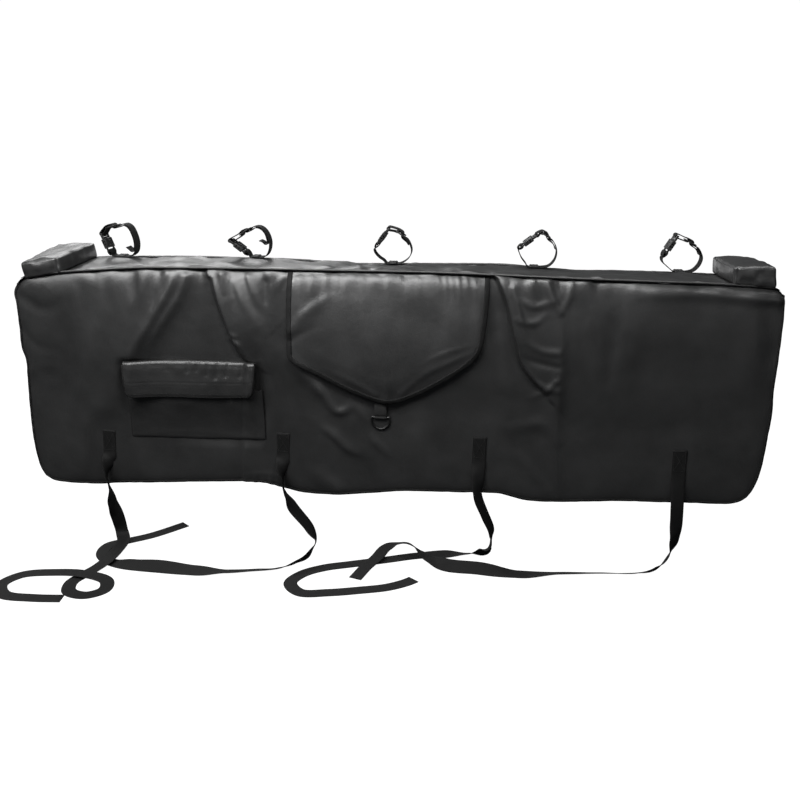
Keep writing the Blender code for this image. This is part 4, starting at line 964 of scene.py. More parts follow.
# ------------------------------------------------------------------ piping
def piping(name, line, y, sign, seed, replaced):
    line = line[np.abs(line[:, 0]) < 0.677]
    n = int((line[-1][0] - line[0][0]) / 0.0030)
    p = follow(line, n)
    s = np.arange(n) * 0.003
    path = np.stack([p[:, 0], np.full(n, y) + sign * 0.0004 * noise(s, s * 0, 0.04, seed), p[:, 1] + 0.0001], 1)
    a, b = path_frames(path, (0, sign, 0))
    ang = np.linspace(0, 2 * math.pi, 12, endpoint=False)
    r = 0.0021 + 0.00028 * noise(s, s * 0, 0.0065, seed + 1)
    r *= 0.25 + 0.75 * smooth(np.minimum(s, s[-1] - s) / 0.016)
    prof = np.stack([r[:, None] * np.cos(ang), r[:, None] * np.sin(ang)], -1)
    ob = sweep(name, path, a, b, prof)
    return dress(ob, PIPING, replaced=replaced)


piping("front_welt", SEAM, -0.0742, -1, 71, ("front_welt",))
piping("rear_welt", REAR_SEAM, 0.0742, 1, 73, ("rear_welt",))


# ------------------------------------------------------------------ end bolsters
def bolster(name, corners, seed, replaced, dart_x=None):
    """A stuffed box whose eight corners are given: index bits are x, y, z."""
    C = np.array(corners).reshape(2, 2, 2, 3)
    n, r = 34, 0.17
    lin_ = np.linspace(-1, 1, n)
    lin_ = np.sign(lin_) * np.abs(lin_) ** 0.86
    verts, faces, index = [], [], {}

    def vid(p):
        key = tuple(np.round(p, 6))
        if key not in index:
            index[key] = len(verts)
            verts.append(p)
        return index[key]

    for axis in range(3):
        for sgn in (-1, 1):
            for i in range(n - 1):
                for j in range(n - 1):
                    quad = []
                    for a, b in ((i, j), (i + 1, j), (i + 1, j + 1), (i, j + 1)):
                        p = np.empty(3)
                        p[axis] = sgn
                        p[(axis + 1) % 3], p[(axis + 2) % 3] = lin_[a], lin_[b]
                        quad.append(vid(p))
                    faces.append(quad if sgn > 0 else quad[::-1])
    V = np.array(verts)
    # rounding radii per axis, in the box's own measure
    size = np.array([0.0676, 0.150, 0.030]) / 2
    rad = np.array([0.0042, 0.0046, 0.0046])
    W = V * size
    inner = np.clip(W, -(size - rad), size - rad)
    d = W - inner
    ln = np.linalg.norm(d / rad, axis=1, keepdims=True)
    W = inner + np.where(ln > 1e-9, d / np.maximum(ln, 1e-9), 0)
    U = W / size
    # stuffing: the faces swell between the edges
    u2, v2, w2 = (np.clip(1 - U[:, k] ** 2, 0, 1) for k in range(3))
    top = np.clip(U[:, 2], 0, 1) ** 6
    frn = np.clip(-U[:, 1], 0, 1) ** 8
    side_ = np.clip(np.abs(U[:, 0]), 0, 1) ** 6 * np.sign(U[:, 0])
    W[:, 2] += 0.0030 * top * u2 * v2 ** 0.5
    W[:, 1] -= 0.0024 * frn * u2 * w2
    W[:, 0] += 0.0022 * side_ * v2 ** 0.5 * w2
    X, Y = U[:, 0] * 0.034 + 0.1 * seed, U[:, 1] * 0.075
    W[:, 2] += 0.0015 * top * noise(X, Y, 0.024, seed) + 0.0006 * top * noise(X, Y, 0.009, seed + 1) * (1 - u2 * v2)
    W[:, 1] += 0.0017 * frn * noise(X, U[:, 2] * 0.015, 0.013, seed + 2)
    W[:, 0] += 0.0007 * np.abs(side_) * noise(Y, U[:, 2] * 0.015, 0.016, seed + 3)
    # sewn edges pull in a little, and gather beside the seam
    seam = np.exp(-((np.abs(U[:, 2]) - 0.93) / 0.10) ** 2) * (1 - top * 0.6)
    ring_ = np.arctan2(U[:, 1] * 0.075, U[:, 0] * 0.034)
    W *= 1 - 0.006 * (seam * (0.6 + 0.4 * np.cos(ring_ * 60)))[:, None]
    if dart_x is not None:                            # upright seam where the end piece joins
        dd = np.exp(-((W[:, 0] - dart_x * size[0]) / 0.0016) ** 2) * frn
        W[:, 1] += 0.0018 * dd
    U = (W / size + 1) / 2
    out = np.zeros_like(W)
    for i in range(2):
        for j in range(2):
            for k in range(2):
                w = (U[:, 0] if i else 1 - U[:, 0]) * (U[:, 1] if j else 1 - U[:, 1]) * (U[:, 2] if k else 1 - U[:, 2])
                out += w[:, None] * C[i, j, k]
    ob = tidy(new_mesh(name, out, faces))
    dress(ob, VINYL, replaced=replaced)
    return ob


def box_corners(front_low, front_high, back_high, yf=-0.077, yb=0.073):
    """Corners from places in the picture: (left, right) pairs."""
    fl = [seen(*front_low[i], yf) for i in range(2)]
    fh_ = [seen(*front_high[i], yf) for i in range(2)]
    bh = [seen(*back_high[i], yb) for i in range(2)]
    out = []
    for i in range(2):
        drop = fh_[i][1] - fl[i][1]
        out += [(fl[i][0], yf, fl[i][1]), (fh_[i][0], yf, fh_[i][1]),
                (bh[i][0] - (fh_[i][0] - fl[i][0]), yb, bh[i][1] - drop), (bh[i][0], yb, bh[i][1])]
    # order x, y, z bits
    return [[[out[i * 4 + j * 2 + k] for k in range(2)] for j in range(2)] for i in range(2)]


LB = box_corners([(24.6, 279.6), (61.4, 273.0)], [(19.8, 262.8), (57.4, 256.8)], [(58.0, 243.6), (94.8, 242.0)])
RB = box_corners([(734.3, 285.6), (776.5, 289.2)], [(735.4, 266.8), (777.4, 267.4)], [(713.0, 255.8), (749.6, 256.2)])
bolster("left_bolster", LB, 81, ("left_bolster",), dart_x=0.80)
bolster("right_bolster", RB, 87, ("right_bolster",), dart_x=-0.86)

# ------------------------------------------------------------------ flap over the window
def pix_line(points, y, per=6):
    return centripetal([seen(px, py, y) for px, py in points], per)


FY = -0.0800
flap_top = pix_line([(287.4, 272.4), (340, 272.6), (390, 273.6), (440, 274.6), (490.2, 275.9)], FY)
flap_left = pix_line([(287.4, 272.4), (287.6, 300), (288.2, 330), (288.8, 349)], FY)
flap_low = pix_line([(288.8, 349), (289.8, 356.0), (295, 361.2), (321.7, 375.4), (346.7, 388.6), (366, 396.8), (374, 399.8),
                     (381, 401.6), (388, 402.4), (394, 402.2), (401, 401.0), (410, 397.6), (423.3, 391.8), (451.7, 376.0),
                     (470, 363.2), (478.6, 354.0), (482.4, 345.5)], FY, 8)
flap_right = pix_line([(490.2, 275.9), (488.6, 300), (486.0, 325), (482.4, 345.5)], FY)
flx, flz = patch(flap_top, flap_low, flap_left, flap_right, 230, 120)
fl_top_z = np.interp(flx, flap_top[:, 0], flap_top[:, 1])


def flap_relief(x, z):
    F = Folds(x, z)
    top = np.interp(x, flap_top[:, 0], flap_top[:, 1]) - z
    low = z - np.interp(x, flap_low[:, 0], flap_low[:, 1])
    lft = x - np.interp(-z, -flap_left[:, 1], flap_left[:, 0])
    rgt = np.interp(-z, -flap_right[:, 1], flap_right[:, 0]) - x
    F.h += 0.0013 * noise(x, z, 0.10, 91) + 0.0007 * noise(x, z, 0.045, 92)
    F.h += 0.0014 * noise(x + 0.1 * z, z * 0.3, 0.014, 93) * np.exp(-np.maximum(top, 0) / 0.03)
    F.ridge([(296, 282), (300, 300), (304, 326)], [1.0, 2.2, 0.8], 10, 22)
    F.ridge([(292, 329), (304, 314), (330, 296)], [2.6, 2.4, 0.6], 11, 9)
    F.ridge([(291, 338), (306, 330), (322, 322)], [-1.6, -1.6, -0.3], 8, 8)
    F.ridge([(366, 290), (369, 330), (380, 366), (390, 400)], [0.3, 1.8, 2.6, 1.6], 20, 10)
    F.ridge([(396, 300), (392, 350), (394, 392)], [-0.2, -1.2, -0.6], 16, 16)
    for px, a in ((438, 1.2), (445, 1.8), (451, 1.4), (458, 1.8), (466, 1.2), (474, 1.2)):
        F.ridge([(px, 275), (px + 1.5, 286), (px + 4, 300)], [a, a, 0.1], 4.0, 4.6)
    for px, a in ((300, 1.0), (312, 1.2), (326, 0.9), (344, 0.8), (362, 0.6), (400, 0.6), (418, 0.8)):
        F.ridge([(px, 273), (px + 1, 284), (px + 3, 296)], [a, a * 0.8, 0.1], 5.0, 6.0)
    F.ridge([(480, 290), (478, 316), (476, 343)], [0.8, 2.2, 2.0], 13, 7)
    F.ridge([(474, 350), (450, 360), (424, 372)], [0.8, 1.6, 0.3], 6, 7)
    F.ridge([(468, 344), (446, 350), (420, 362)], [0.4, 1.3, 0.2], 5, 6)
    F.ridge([(402, 392), (420, 376), (440, 362)], [1.4, 1.2, 0.2], 7, 7)
    F.ridge([(376, 392), (352, 378), (326, 366)], [1.6, 1.6, 0.3], 7, 7)
    F.ridge([(388, 398), (388, 388), (386, 374)], [2.0, 1.8, 0.3], 9, 9)
    F.ridge([(410, 300), (430, 330), (440, 352)], [-0.3, -1.4, -0.4], 22, 22)
    belly = smooth(low / 0.05) * smooth(top / 0.05) * smooth(lft / 0.07) * smooth(rgt / 0.07)
    h = F.h + 0.0060 * belly * smooth(top / 0.12) + 0.0060 * np.clip(top / 0.20, 0, 1) ** 1.2
    edge = np.minimum(np.minimum(lft, rgt), low * 0.93)
    h = h - 0.0016 * np.exp(-np.maximum(edge, 0) / 0.008)
    h = h + 0.0022 - 0.0050 * np.exp(-np.maximum(top, 0) / 0.010)
    return h


def soft_front(x, z):
    return read_raster(SOFT, x, z)


SOFT = blurred(RELIEF, 60)
FLAP_RELIEF = blurred(flap_relief(*np.meshgrid(RX, RZ, indexing="ij")), 1)


def flap_at(x, z):
    """y of the flap's face: it lies over the panel without following its small folds."""
    x, z = np.asarray(x, float), np.asarray(z, float)
    under = np.maximum(read_raster(SOFT, x, z), read_raster(RELIEF, x, z) - 0.0008)
    return FRONT_Y - under - 0.0030 - np.maximum(read_raster(FLAP_RELIEF, x, z), -0.0018)


fly = flap_at(flx, flz)
ffront = np.stack([flx, fly, flz], -1)
fback = ffront.copy()
fback[..., 1] += 0.0016
flap = closed_sheet("camera_flap", ffront, fback, np.stack([flx, flz], -1))
dress(flap, FLAP_CLOTH, replaced=("camera_flap",))


def flap_tape(name, line, leg, replaced):
    line = follow(line, int(np.linalg.norm(np.diff(line, axis=0), axis=1).sum() / 0.0028))
    t = np.gradient(line, axis=0)
    for _ in range(6):
        t[1:-1] = (t[:-2] + t[2:] + 2 * t[1:-1]) / 4
    t /= np.linalg.norm(t, axis=1, keepdims=True)
    inn = np.stack([-t[:, 1], t[:, 0]], 1)
    s = np.arange(len(line)) * 0.0028
    wob = 0.00045 * noise(s, s * 0, 0.009, 95) + 0.0003 * noise(s, s * 0, 0.030, 96)
    rings = []
    for k in range(len(line)):
        p, d = line[k], inn[k]
        sec = []
        for off, dy in ((leg, 0.0002), (leg, -0.0006 - max(wob[k], 0)), (leg * 0.75, -0.0012 - wob[k]),
                        (leg * 0.4, -0.0014 - wob[k] * 1.4), (0.0006, -0.0010), (-0.0009, -0.0002), (-0.0012, 0.0008),
                        (-0.0009, 0.0018), (0.0008, 0.0025), (leg * 0.5, 0.0027), (leg, 0.0023), (leg, 0.0014)):
            q = p + d * off
            r_ = p + d * max(off, 0.0004)
            sec.append((q[0], float(flap_at(r_[0], r_[1])) + dy, q[1]))
        rings.append(sec)
    pts = np.array(rings)
    n_, m_ = pts.shape[:2]
    fc = [(i * m_ + k, i * m_ + (k + 1) % m_, (i + 1) * m_ + (k + 1) % m_, (i + 1) * m_ + k)
          for i in range(n_ - 1) for k in range(m_)]
    fc += [tuple(range(m_ - 1, -1, -1)), tuple((n_ - 1) * m_ + k for k in range(m_))]
    uv = np.stack(np.meshgrid(s, np.linspace(0, 2 * leg + 0.01, m_), indexing="ij"), -1).reshape(-1, 2)
    ob = tidy(new_mesh(name, pts.reshape(-1, 3), fc, uv))
    dress(ob, BINDING, replaced=replaced)
    return ob, [tuple(v) for v in pts[:, 2] * 0.9 + pts[:, 1] * 0.1 + np.array([0, -0.0002, 0])]


flap_edge = np.concatenate([flap_left, flap_low[1:], flap_right[::-1][1:]])
_, trow = flap_tape("flap_binding", flap_edge, 0.0084, ("flap_binding",))
stitches("flap_thread", [trow], pitch=0.0036, length=0.0026)

# ------------------------------------------------------------------ ring and its tab
def strip_object(name, pts, width_dir, normals, width, thick, mat, replaced=(), body="pad", n=5):
    ob = sweep(name, pts, width_dir, normals, strip_profile(width, thick, n))
    return dress(ob, mat, body, replaced)


RING_X, RING_Y, RING_Z = -0.007, -0.0788, -0.2540


def eye_strip(name, x, yc, zc, y_flat0, y_flat1, top, r, width, mat, replaced, sign=-1):
    """A tab of doubled webbing whose fold makes an eye round (yc, zc)."""
    t = 0.0012
    pts = [(y_flat0, top), (y_flat0, top - 0.008), (y_flat0, zc + 2.6 * r), (yc - r * 0.86, zc + r * 0.9)]
    pts += [(yc + r * math.cos(math.radians(a)), zc + r * math.sin(math.radians(a))) for a in (165, 195, 225, 255, 285, 315, 345, 375)]
    pts += [(yc + r * 0.86, zc + r * 0.9), (y_flat1, zc + 2.6 * r), (y_flat1, top - 0.008), (y_flat1, top)]
    line = centripetal(pts, 5)
    path = np.stack([np.full(len(line), x), line[:, 0], line[:, 1]], 1)
    tn = np.gradient(path, axis=0)
    tn /= np.linalg.norm(tn, axis=1, keepdims=True)
    A = np.tile([1.0, 0, 0], (len(path), 1))
    B = np.cross(A, tn)
    ob = sweep(name, path, A, B, strip_profile(width, t, 6))
    return dress(ob, mat, "pad", replaced)


tip_face = float(flap_at(RING_X, -0.2150))
eye_strip("flap_tab", RING_X, RING_Y, RING_Z, RING_Y - 0.0043, RING_Y - 0.0017, -0.2035, 0.0029, 0.0225, TAB_WEB,
          ("flap_tab",))
rw, rh = 0.0165, 0.0225
ring_path = [(-rw * k, 0) for k in np.linspace(-1, 1, 9)]
ring_path += [(-rw - 0.0002, -0.0030), (-rw, -0.0065)]
ring_path += [(-rw * math.cos(a), -0.0065 - (rh - 0.0065) * math.sin(a)) for a in np.linspace(0.12, math.pi - 0.12, 26)]
ring_path += [(rw, -0.0065), (rw + 0.0002, -0.0030)]
ring_path = np.array(ring_path)
dense = centripetal(list(ring_path) + [ring_path[0]], 3)[:-1]
path = np.stack([RING_X + dense[:, 0], np.full(len(dense), RING_Y), RING_Z + dense[:, 1]], 1)
tn = np.roll(path, -1, 0) - np.roll(path, 1, 0)
tn /= np.linalg.norm(tn, axis=1, keepdims=True)
A = np.tile([0, 1.0, 0], (len(path), 1))
ring = sweep("d_ring", path, A, np.cross(tn, A), circle(0.00175, 14), closed=True)
dress(ring, METAL, "ring", ("d_ring",))

# ------------------------------------------------------------------ pocket
PY = -0.0915                                         # the bag's face
bag_top = pix_line([(126.6, 388), (160, 389), (200, 390), (240, 391), (260.5, 391.5)], PY)
bag_low = pix_line([(130.3, 437.6), (150, 438.2), (190, 439.2), (230, 440.0), (263.4, 440.8)], PY)
bag_left = pix_line([(126.6, 388), (128.2, 405), (129.6, 422), (130.3, 437.6)], PY)
bag_right = pix_line([(260.5, 391.5), (261.4, 405), (262.6, 422), (263.4, 440.8)], PY)
bx_, bz_ = patch(bag_top, bag_low, bag_left, bag_right, 120, 60)


def bag_relief(x, z):
    F = Folds(x, z)
    F.h += 0.0011 * noise(x, z, 0.055, 101) + 0.0006 * noise(x, z, 0.020, 102)
    F.ridge([(232, 392), (236, 412), (243, 438)], [1.0, 2.2, 1.2], 8, 5)
    F.ridge([(244.5, 392), (244, 416), (243.5, 440)], [-1.0, -2.0, -1.4], 4, 4)
    F.ridge([(250, 394), (252, 415), (256, 438)], [1.0, 2.0, 1.0], 5, 5)
    F.ridge([(206, 400), (214, 420), (212, 438)], [0.2, 1.4, 0.4], 12, 9)
    F.ridge([(150, 398), (158, 418), (152, 436)], [0.2, 1.3, 0.4], 14, 12)
    F.ridge([(132, 434), (190, 431), (260, 437)], [0.6, 1.0, 0.8], 5, 6)
    return F.h


lft = bx_ - np.interp(-bz_, -bag_left[:, 1], bag_left[:, 0])
rgt = np.interp(-bz_, -bag_right[:, 1], bag_right[:, 0]) - bx_
low = bz_ - np.interp(bx_, bag_low[:, 0], bag_low[:, 1])
bh_ = bag_relief(bx_, bz_) + 0.0022 * smooth(lft / 0.04) * smooth(rgt / 0.04) * smooth(low / 0.03)
bh_ -= 0.0040 * np.exp(-np.maximum(np.minimum(np.minimum(lft, rgt), low), 0) / 0.0045)
by_ = PY + 0.0010 - bh_ + 0.0062 * smooth(1 - low / 0.075)
hang = smooth(low / 0.115)
by_ = by_ * hang + (front_at(bx_, bz_) - 0.0016 - 0.4 * bag_relief(bx_, bz_)) * (1 - hang)
by_ = np.minimum(by_, front_at(bx_, bz_) - 0.0012)
bag_front = np.stack([bx_, by_, bz_], -1)
verts, fc = list(bag_front.reshape(-1, 3)), grid_faces(60, 120).tolist()
rim = [(i, 0) for i in range(60)] + [(59, j) for j in range(1, 120)] + [(i, 119) for i in range(58, -1, -1)]
prev = [i * 120 + j for i, j in rim]
steps = 6
for s_ in range(1, steps + 1):
    cur = []
    t = s_ / steps
    for q, (i, j) in enumerate(rim):
        p = bag_front[i, j].copy()
        y1 = float(front_at(p[0], p[2])) + 0.0006
        tuckin = 0.0016 * math.sin(math.pi * t) + 0.0007 * float(noise(q * 0.003, t * 0.02, 0.02, 103)) * math.sin(math.pi * t)
        sx = (1 if j == 0 else (-1 if j == 119 else 0))
        p[0] += sx * tuckin
        p[2] += (tuckin if i == 59 else 0)
        p[1] = p[1] + (y1 - p[1]) * t
        cur.append(len(verts))
        verts.append(p)
    for q in range(len(rim) - 1):
        fc.append([prev[q], prev[q + 1], cur[q + 1], cur[q]])
    prev = cur
bag = new_mesh("pocket_bag", np.array(verts), fc)
md = bag.modifiers.new("cloth", "SOLIDIFY")
md.thickness = 0.0013
md.offset = -1.0


def apply_mods(ob):
    dg_ = bpy.context.evaluated_depsgraph_get()
    dg_.update()
    me = bpy.data.meshes.new_from_object(ob.evaluated_get(dg_))
    ob.modifiers.clear()
    ob.data = me
    return tidy(ob, 50)


bag = apply_mods(bag)
dress(bag, VINYL_BACK, replaced=("pocket_bag",))
# taped seams down both sides and along the bottom of the bag
rim_pts = np.array([bag_front[i, j] for i, j in rim])
a_, b_ = path_frames(rim_pts, (0, -1, 0))
thin = np.array([1.0 if j in (0, 119) else 0.35 for i, j in rim])
for _ in range(3):
    thin[1:-1] = (thin[:-2] + 2 * thin[1:-1] + thin[2:]) / 4
tube = np.array(circle(1.0, 8))[None] * np.array([0.0021, 0.0012]) * thin[:, None, None]
seam_tube = sweep("pocket_edge", rim_pts + np.array([0, 0.0006, 0]), a_, b_, tube)
dress(seam_tube, BINDING)
row = [tuple(bag_front[i, 3] + np.array([0.0, -0.0002, 0])) for i in range(4, 57)]
row2 = [tuple(bag_front[56, j] + np.array([0, -0.0002, 0])) for j in range(3, 117)]
row3 = [tuple(bag_front[i, 116] + np.array([0, -0.0002, 0])) for i in range(4, 57)]
stitches("pocket_thread", [row, row2, row3], pitch=0.0036, length=0.0026)

# its lid: gathered where it is sewn on, puffy, stitched across and bound below
lid_top = pix_line([(126.0, 359.3), (160, 358.6), (200, 358.8), (235, 360.2), (256.4, 361.2)], -0.078)
lid_low = pix_line([(126.8, 390.0), (128.4, 393.6), (133, 395.4), (160, 396.0), (190, 396.8), (220, 397.4), (243.0, 397.2), (249.6, 395.8), (252.6, 392.6),
                    (253.4, 388.6)], -0.0955)
cols, rows = 190, 64
T2, B2 = follow(lid_top, cols, by=0), follow(lid_low, cols, by=0)
sv = np.linspace(0, 1, rows)[:, None]
lx_ = T2[None, :, 0] * (1 - sv) + B2[None, :, 0] * sv
lz_ = T2[None, :, 1] * (1 - sv) + B2[None, :, 1] * sv
uu = np.linspace(0, 1, cols)[None, :]
wid_ = uu * 0.235
# section: leaves the panel, swells, then hangs over the bag
out_ = np.interp(sv, [0, 0.02, 0.08, 0.20, 0.40, 0.55, 0.70, 1.0],
                 [0.0032, 0.0092, 0.0114, 0.0130, 0.0146, 0.0160, 0.0168, 0.0160])
out_ = out_ + 0 * uu
env = np.exp(-((sv - 0.16) / 0.20) ** 2)
puck = noise(wid_ + 0 * sv, sv * 0.05, 0.0140, 111) * 0.0003 + noise(wid_ + 0 * sv, sv * 0.06, 0.026, 112) * 0.0009
right_gather = 0.45 + 0.75 * np.exp(-((uu - 0.72) / 0.22) ** 2) + 0.2 * uu
out_ = out_ + puck * env * right_gather
for c_, w_, a_2, s0, s1 in ((0.49, 0.020, 0.0020, 0.0, 0.40), (0.565, 0.018, 0.0018, 0.0, 0.36), (0.64, 0.018, 0.0016, 0.0, 0.48),
                            (0.715, 0.020, 0.0024, 0.0, 0.56), (0.79, 0.018, 0.0018, 0.0, 0.50), (0.90, 0.020, 0.0018, 0.0, 0.50),
                            (0.33, 0.024, 0.0010, 0.0, 0.35), (0.18, 0.03, 0.0008, 0.0, 0.3)):
    out_ = out_ - 0.5 * a_2 * np.exp(-((uu + 0.05 * (sv - 0.3) - c_) / w_) ** 2) * smooth((s1 - sv) / 0.12) * smooth(sv / 0.06)
out_ = out_ + 0.0010 * noise(wid_ + 0 * sv, sv * 0.07, 0.034, 113) + 0.0003 * noise(wid_ + 0 * sv, sv * 0.07, 0.015, 114) * smooth(sv / 0.2)
for ss in (0.60, 0.70):                              # rows of stitching draw it in
    out_ = out_ - 0.00018 * np.exp(-((sv - ss) / 0.020) ** 2)
out_ = out_ - 0.0016 * np.exp(-(1 - sv) / 0.03)
out_ = out_ * (1 - 0.10 * np.exp(-uu / 0.012)) * (1 - 0.05 * np.exp(-(1 - uu) / 0.01))
ly_ = np.minimum(FRONT_Y - 0.0016, front_at(T2[None, :, 0] + 0 * sv, T2[None, :, 1] + 0 * sv)) * (1 - sv * 0) - np.maximum(out_, 0.0004)
ly_ = np.where(sv > 0.42, np.minimum(ly_, PY - 0.0032), ly_)
lid_front = np.stack([lx_, ly_, lz_], -1)
nrm = np.cross(np.gradient(lid_front, axis=1), np.gradient(lid_front, axis=0))
nrm /= np.linalg.norm(nrm, axis=-1, keepdims=True) + 1e-12
if nrm[rows // 2, cols // 2, 1] > 0:
    nrm = -nrm
lid_back = lid_front - nrm * 0.0015
lid_uv = np.stack([wid_ + 0 * sv, sv * 0.07 + 0 * uu], -1)
lid = closed_sheet("pocket_flap", lid_front, lid_back, lid_uv)
dress(lid, VINYL_BACK, replaced=("pocket_flap",))
srows = []
for ss in (0.93,):
    k = int(ss * (rows - 1))
    srows.append([tuple(lid_front[k, j] + np.array([0, -0.0002, 0])) for j in range(3, cols - 3)])
stitches("lid_thread", srows, pitch=0.0036, length=0.0026)
edge_pts = np.concatenate([lid_front[6::3, 0], lid_front[-1, 1:-1:2], lid_front[6::3, -1][::-1]])
a_, b_ = path_frames(edge_pts, (0, -1, 0))
lid_tape = sweep("lid_edge", edge_pts + np.array([0, 0.0007, 0]), a_, b_, circle(0.0021, 10, 0.0015))
dress(lid_tape, BINDING)


def pad_strip(name, y_out, x0, x1, z0, z1, replaced, thick=0.0011):
    nx, nz = 90, 12
    gx, gz = np.meshgrid(np.linspace(x0, x1, nx), np.linspace(z1, z0, nz))
    f = np.stack([gx, y_out - 0.0002 * noise(gx, gz, 0.004, 121) + 0 * gx, gz], -1)
    b = f.copy()
    b[..., 1] = y_out + thick
    ob = closed_sheet(name, f, b, np.stack([gx, gz], -1))
    return dress(ob, HOOKS, replaced=replaced)


pad_strip("hook_strip", PY - 0.0026, -0.479, -0.244, -0.212, -0.192, ("hook_strip",))
pad_strip("loop_strip", PY - 0.0014, -0.479, -0.244, -0.212, -0.192, ("loop_strip",))

# ------------------------------------------------------------------ frame straps
TOP_Z, GAP = 0.0128, 0.0003
WEB_W, WEB_T = 0.0254, 0.0015
LOOPS = [
    dict(socket=(-20.0, 10.0), axis=(-0.36, 0.93), slider=(-13.5, 59.0), slide=(0.97, 0.25), left=[],
         way=[(3, 63.5), (14, 64), (23.5, 58), (30.5, 43), (33.5, 26), (30.5, 11), (22.5, 3)],
         curl=[(29.0, 12.5), (24.5, 11.5), (19.5, 15.5), (14, 20)], tail=0.84),
    dict(socket=(-16.0, 9.5), axis=(-0.80, 0.60), slider=(-18.0, 49.0), slide=(0.80, 0.60), foot=-7.5, left=[],
         way=[(-4, 57.5), (7, 60), (18, 56), (27, 44), (31, 28), (28, 12), (21, 3)],
         curl=[(26.5, 27.0), (22.0, 26.5), (17.5, 30.5), (11, 33)], tail=0.52),
    dict(socket=(-29.0, 36.5), axis=(0.58, 0.81), slider=(15.5, 57.5), slide=(0.82, -0.57),
         left=[(-16.0, 6.5), (-25.5, 13.0), (-33.5, 22.0), (-35.0, 29.0)],
         way=[(27, 47.5), (33.5, 37), (36, 26), (32.5, 15), (24, 6.5)], curl=[], tail=0.35),
    dict(socket=(-27.0, 38.5), axis=(0.79, 0.61), slider=(18.5, 61.0), slide=(0.86, -0.50),
         left=[(-17.0, 9.0), (-25.0, 19.0), (-29.5, 29.0)],
         way=[(28, 55), (37, 43), (40, 30), (37, 16), (27, 4.5)], curl=[], tail=0.45),
    dict(socket=(-30.0, 35.0), axis=(0.50, 0.87), slider=(14.0, 56.0), slide=(0.90, -0.44),
         left=[(-14.0, 3.5), (-24.0, 11.5), (-33.5, 20.5), (-34.5, 28.0)],
         way=[(24, 50), (33, 39.5), (37, 28), (33.5, 15), (24, 4.5)], curl=[], tail=0.45),
]


def unit2(v):
    v = np.asarray(v, float)
    return v / np.linalg.norm(v)


def turned(bar, e, r):
    n = np.array([-e[1], e[0]])
    return [bar + (e * math.cos(a) + n * math.sin(a)) * r
            for a in (math.radians(d) for d in (90, 120, 150, 180, 210, 240, 270))]


def loop_path(spec):
    """Centre line of one frame strap: sewn return, socket bar, base, right side, slider,
    plug bar, slider again and free tail."""
    zc = WEB_T / 2 + 0.0006
    S, su = np.array(spec["socket"]) / 1000, unit2(spec["axis"])
    sn = np.array([-su[1], su[0]])
    L, lu = np.array(spec["slider"]) / 1000, unit2(spec["slide"])
    ln = np.array([-lu[1], lu[0]])
    bar, pbar = S + su * 0.0016, S + su * 0.0374
    leg = [np.array(p) for p in ((0.0125, zc), (0.004, zc), (-0.0035, zc), (spec.get("foot", -11.5) / 1000, zc))]
    leg += [np.array(p) / 1000 for p in spec["left"]]
    leg += [bar - su * 0.0080 - sn * 0.0011, bar - su * 0.0040 - sn * 0.0028]
    leg += turned(bar, -su, 0.0034) + [bar - su * 0.0040 + sn * 0.0028, bar - su * 0.0080 + sn * 0.0011]
    way = [np.array(p) / 1000 for p in spec["way"]]
    near = L + lu * 0.0145 - ln * 0.0016
    way = [p for p in way if np.linalg.norm(p - near) > 0.005]
    main = way[::-1]
    main += [near] + [L + lu * a + ln * b for a, b in (
        (0.0105, -0.0025), (0.0070, -0.0023), (0.0046, 0.0004), (0.0034, 0.0032), (0.0, 0.0046),
        (-0.0055, 0.0044), (-0.0100, 0.0036))]
    e = unit2(L - lu * 0.010 - pbar)
    main += turned(pbar, e, 0.0035)
    main += [L + lu * a + ln * b for a, b in (
        (-0.0104, -0.0026), (-0.0072, -0.0022), (-0.0048, 0.0), (-0.0029, 0.0023), (-0.0003, 0.00275),
        (0.0021, 0.0019), (0.0023, 0.0), (0.0032, -0.0026), (0.0056, -0.0044), (0.0090, -0.0050))]
    dense = centripetal([near] + way, 0.0015)
    tail = []
    for k in range(3, int(len(dense) * spec["tail"]), 4):
        d = unit2(dense[min(k + 1, len(dense) - 1)] - dense[k - 1])
        tail.append(dense[k] + np.array([d[1], -d[0]]) * 0.0026)
    tail += [np.array(p) / 1000 for p in spec["curl"]]
    return leg[::-1] + main + tail


def from_cad(source, name, mat, body="pad", lift=0.0, bevel=0.0005, segments=2, work=None):
    """A finer copy of a hard piece: flat faces made whole, edges rounded."""
    src = nodes[source]
    me = src.data.copy()
    me.transform(src.matrix_world)
    bm = bmesh.new()
    bm.from_mesh(me)
    bmesh.ops.remove_doubles(bm, verts=bm.verts, dist=1e-6)
    bmesh.ops.dissolve_limit(bm, angle_limit=math.radians(1.0), verts=bm.verts, edges=bm.edges)
    bmesh.ops.recalc_face_normals(bm, faces=bm.faces)
    if lift:
        bmesh.ops.translate(bm, vec=(0, 0, lift), verts=bm.verts)
    bm.to_mesh(me)
    bm.free()
    me.materials.clear()
    ob = bpy.data.objects.new(name, me)
    scene.collection.objects.link(ob)
    md = ob.modifiers.new("edges", "BEVEL")
    md.width = bevel
    md.segments = segments
    md.limit_method = "ANGLE"
    md.angle_limit = math.radians(35)
    md.harden_normals = False
    ob = apply_mods(ob)
    if work:
        ob = work(ob)
    return dress(ob, mat, body, (source,))


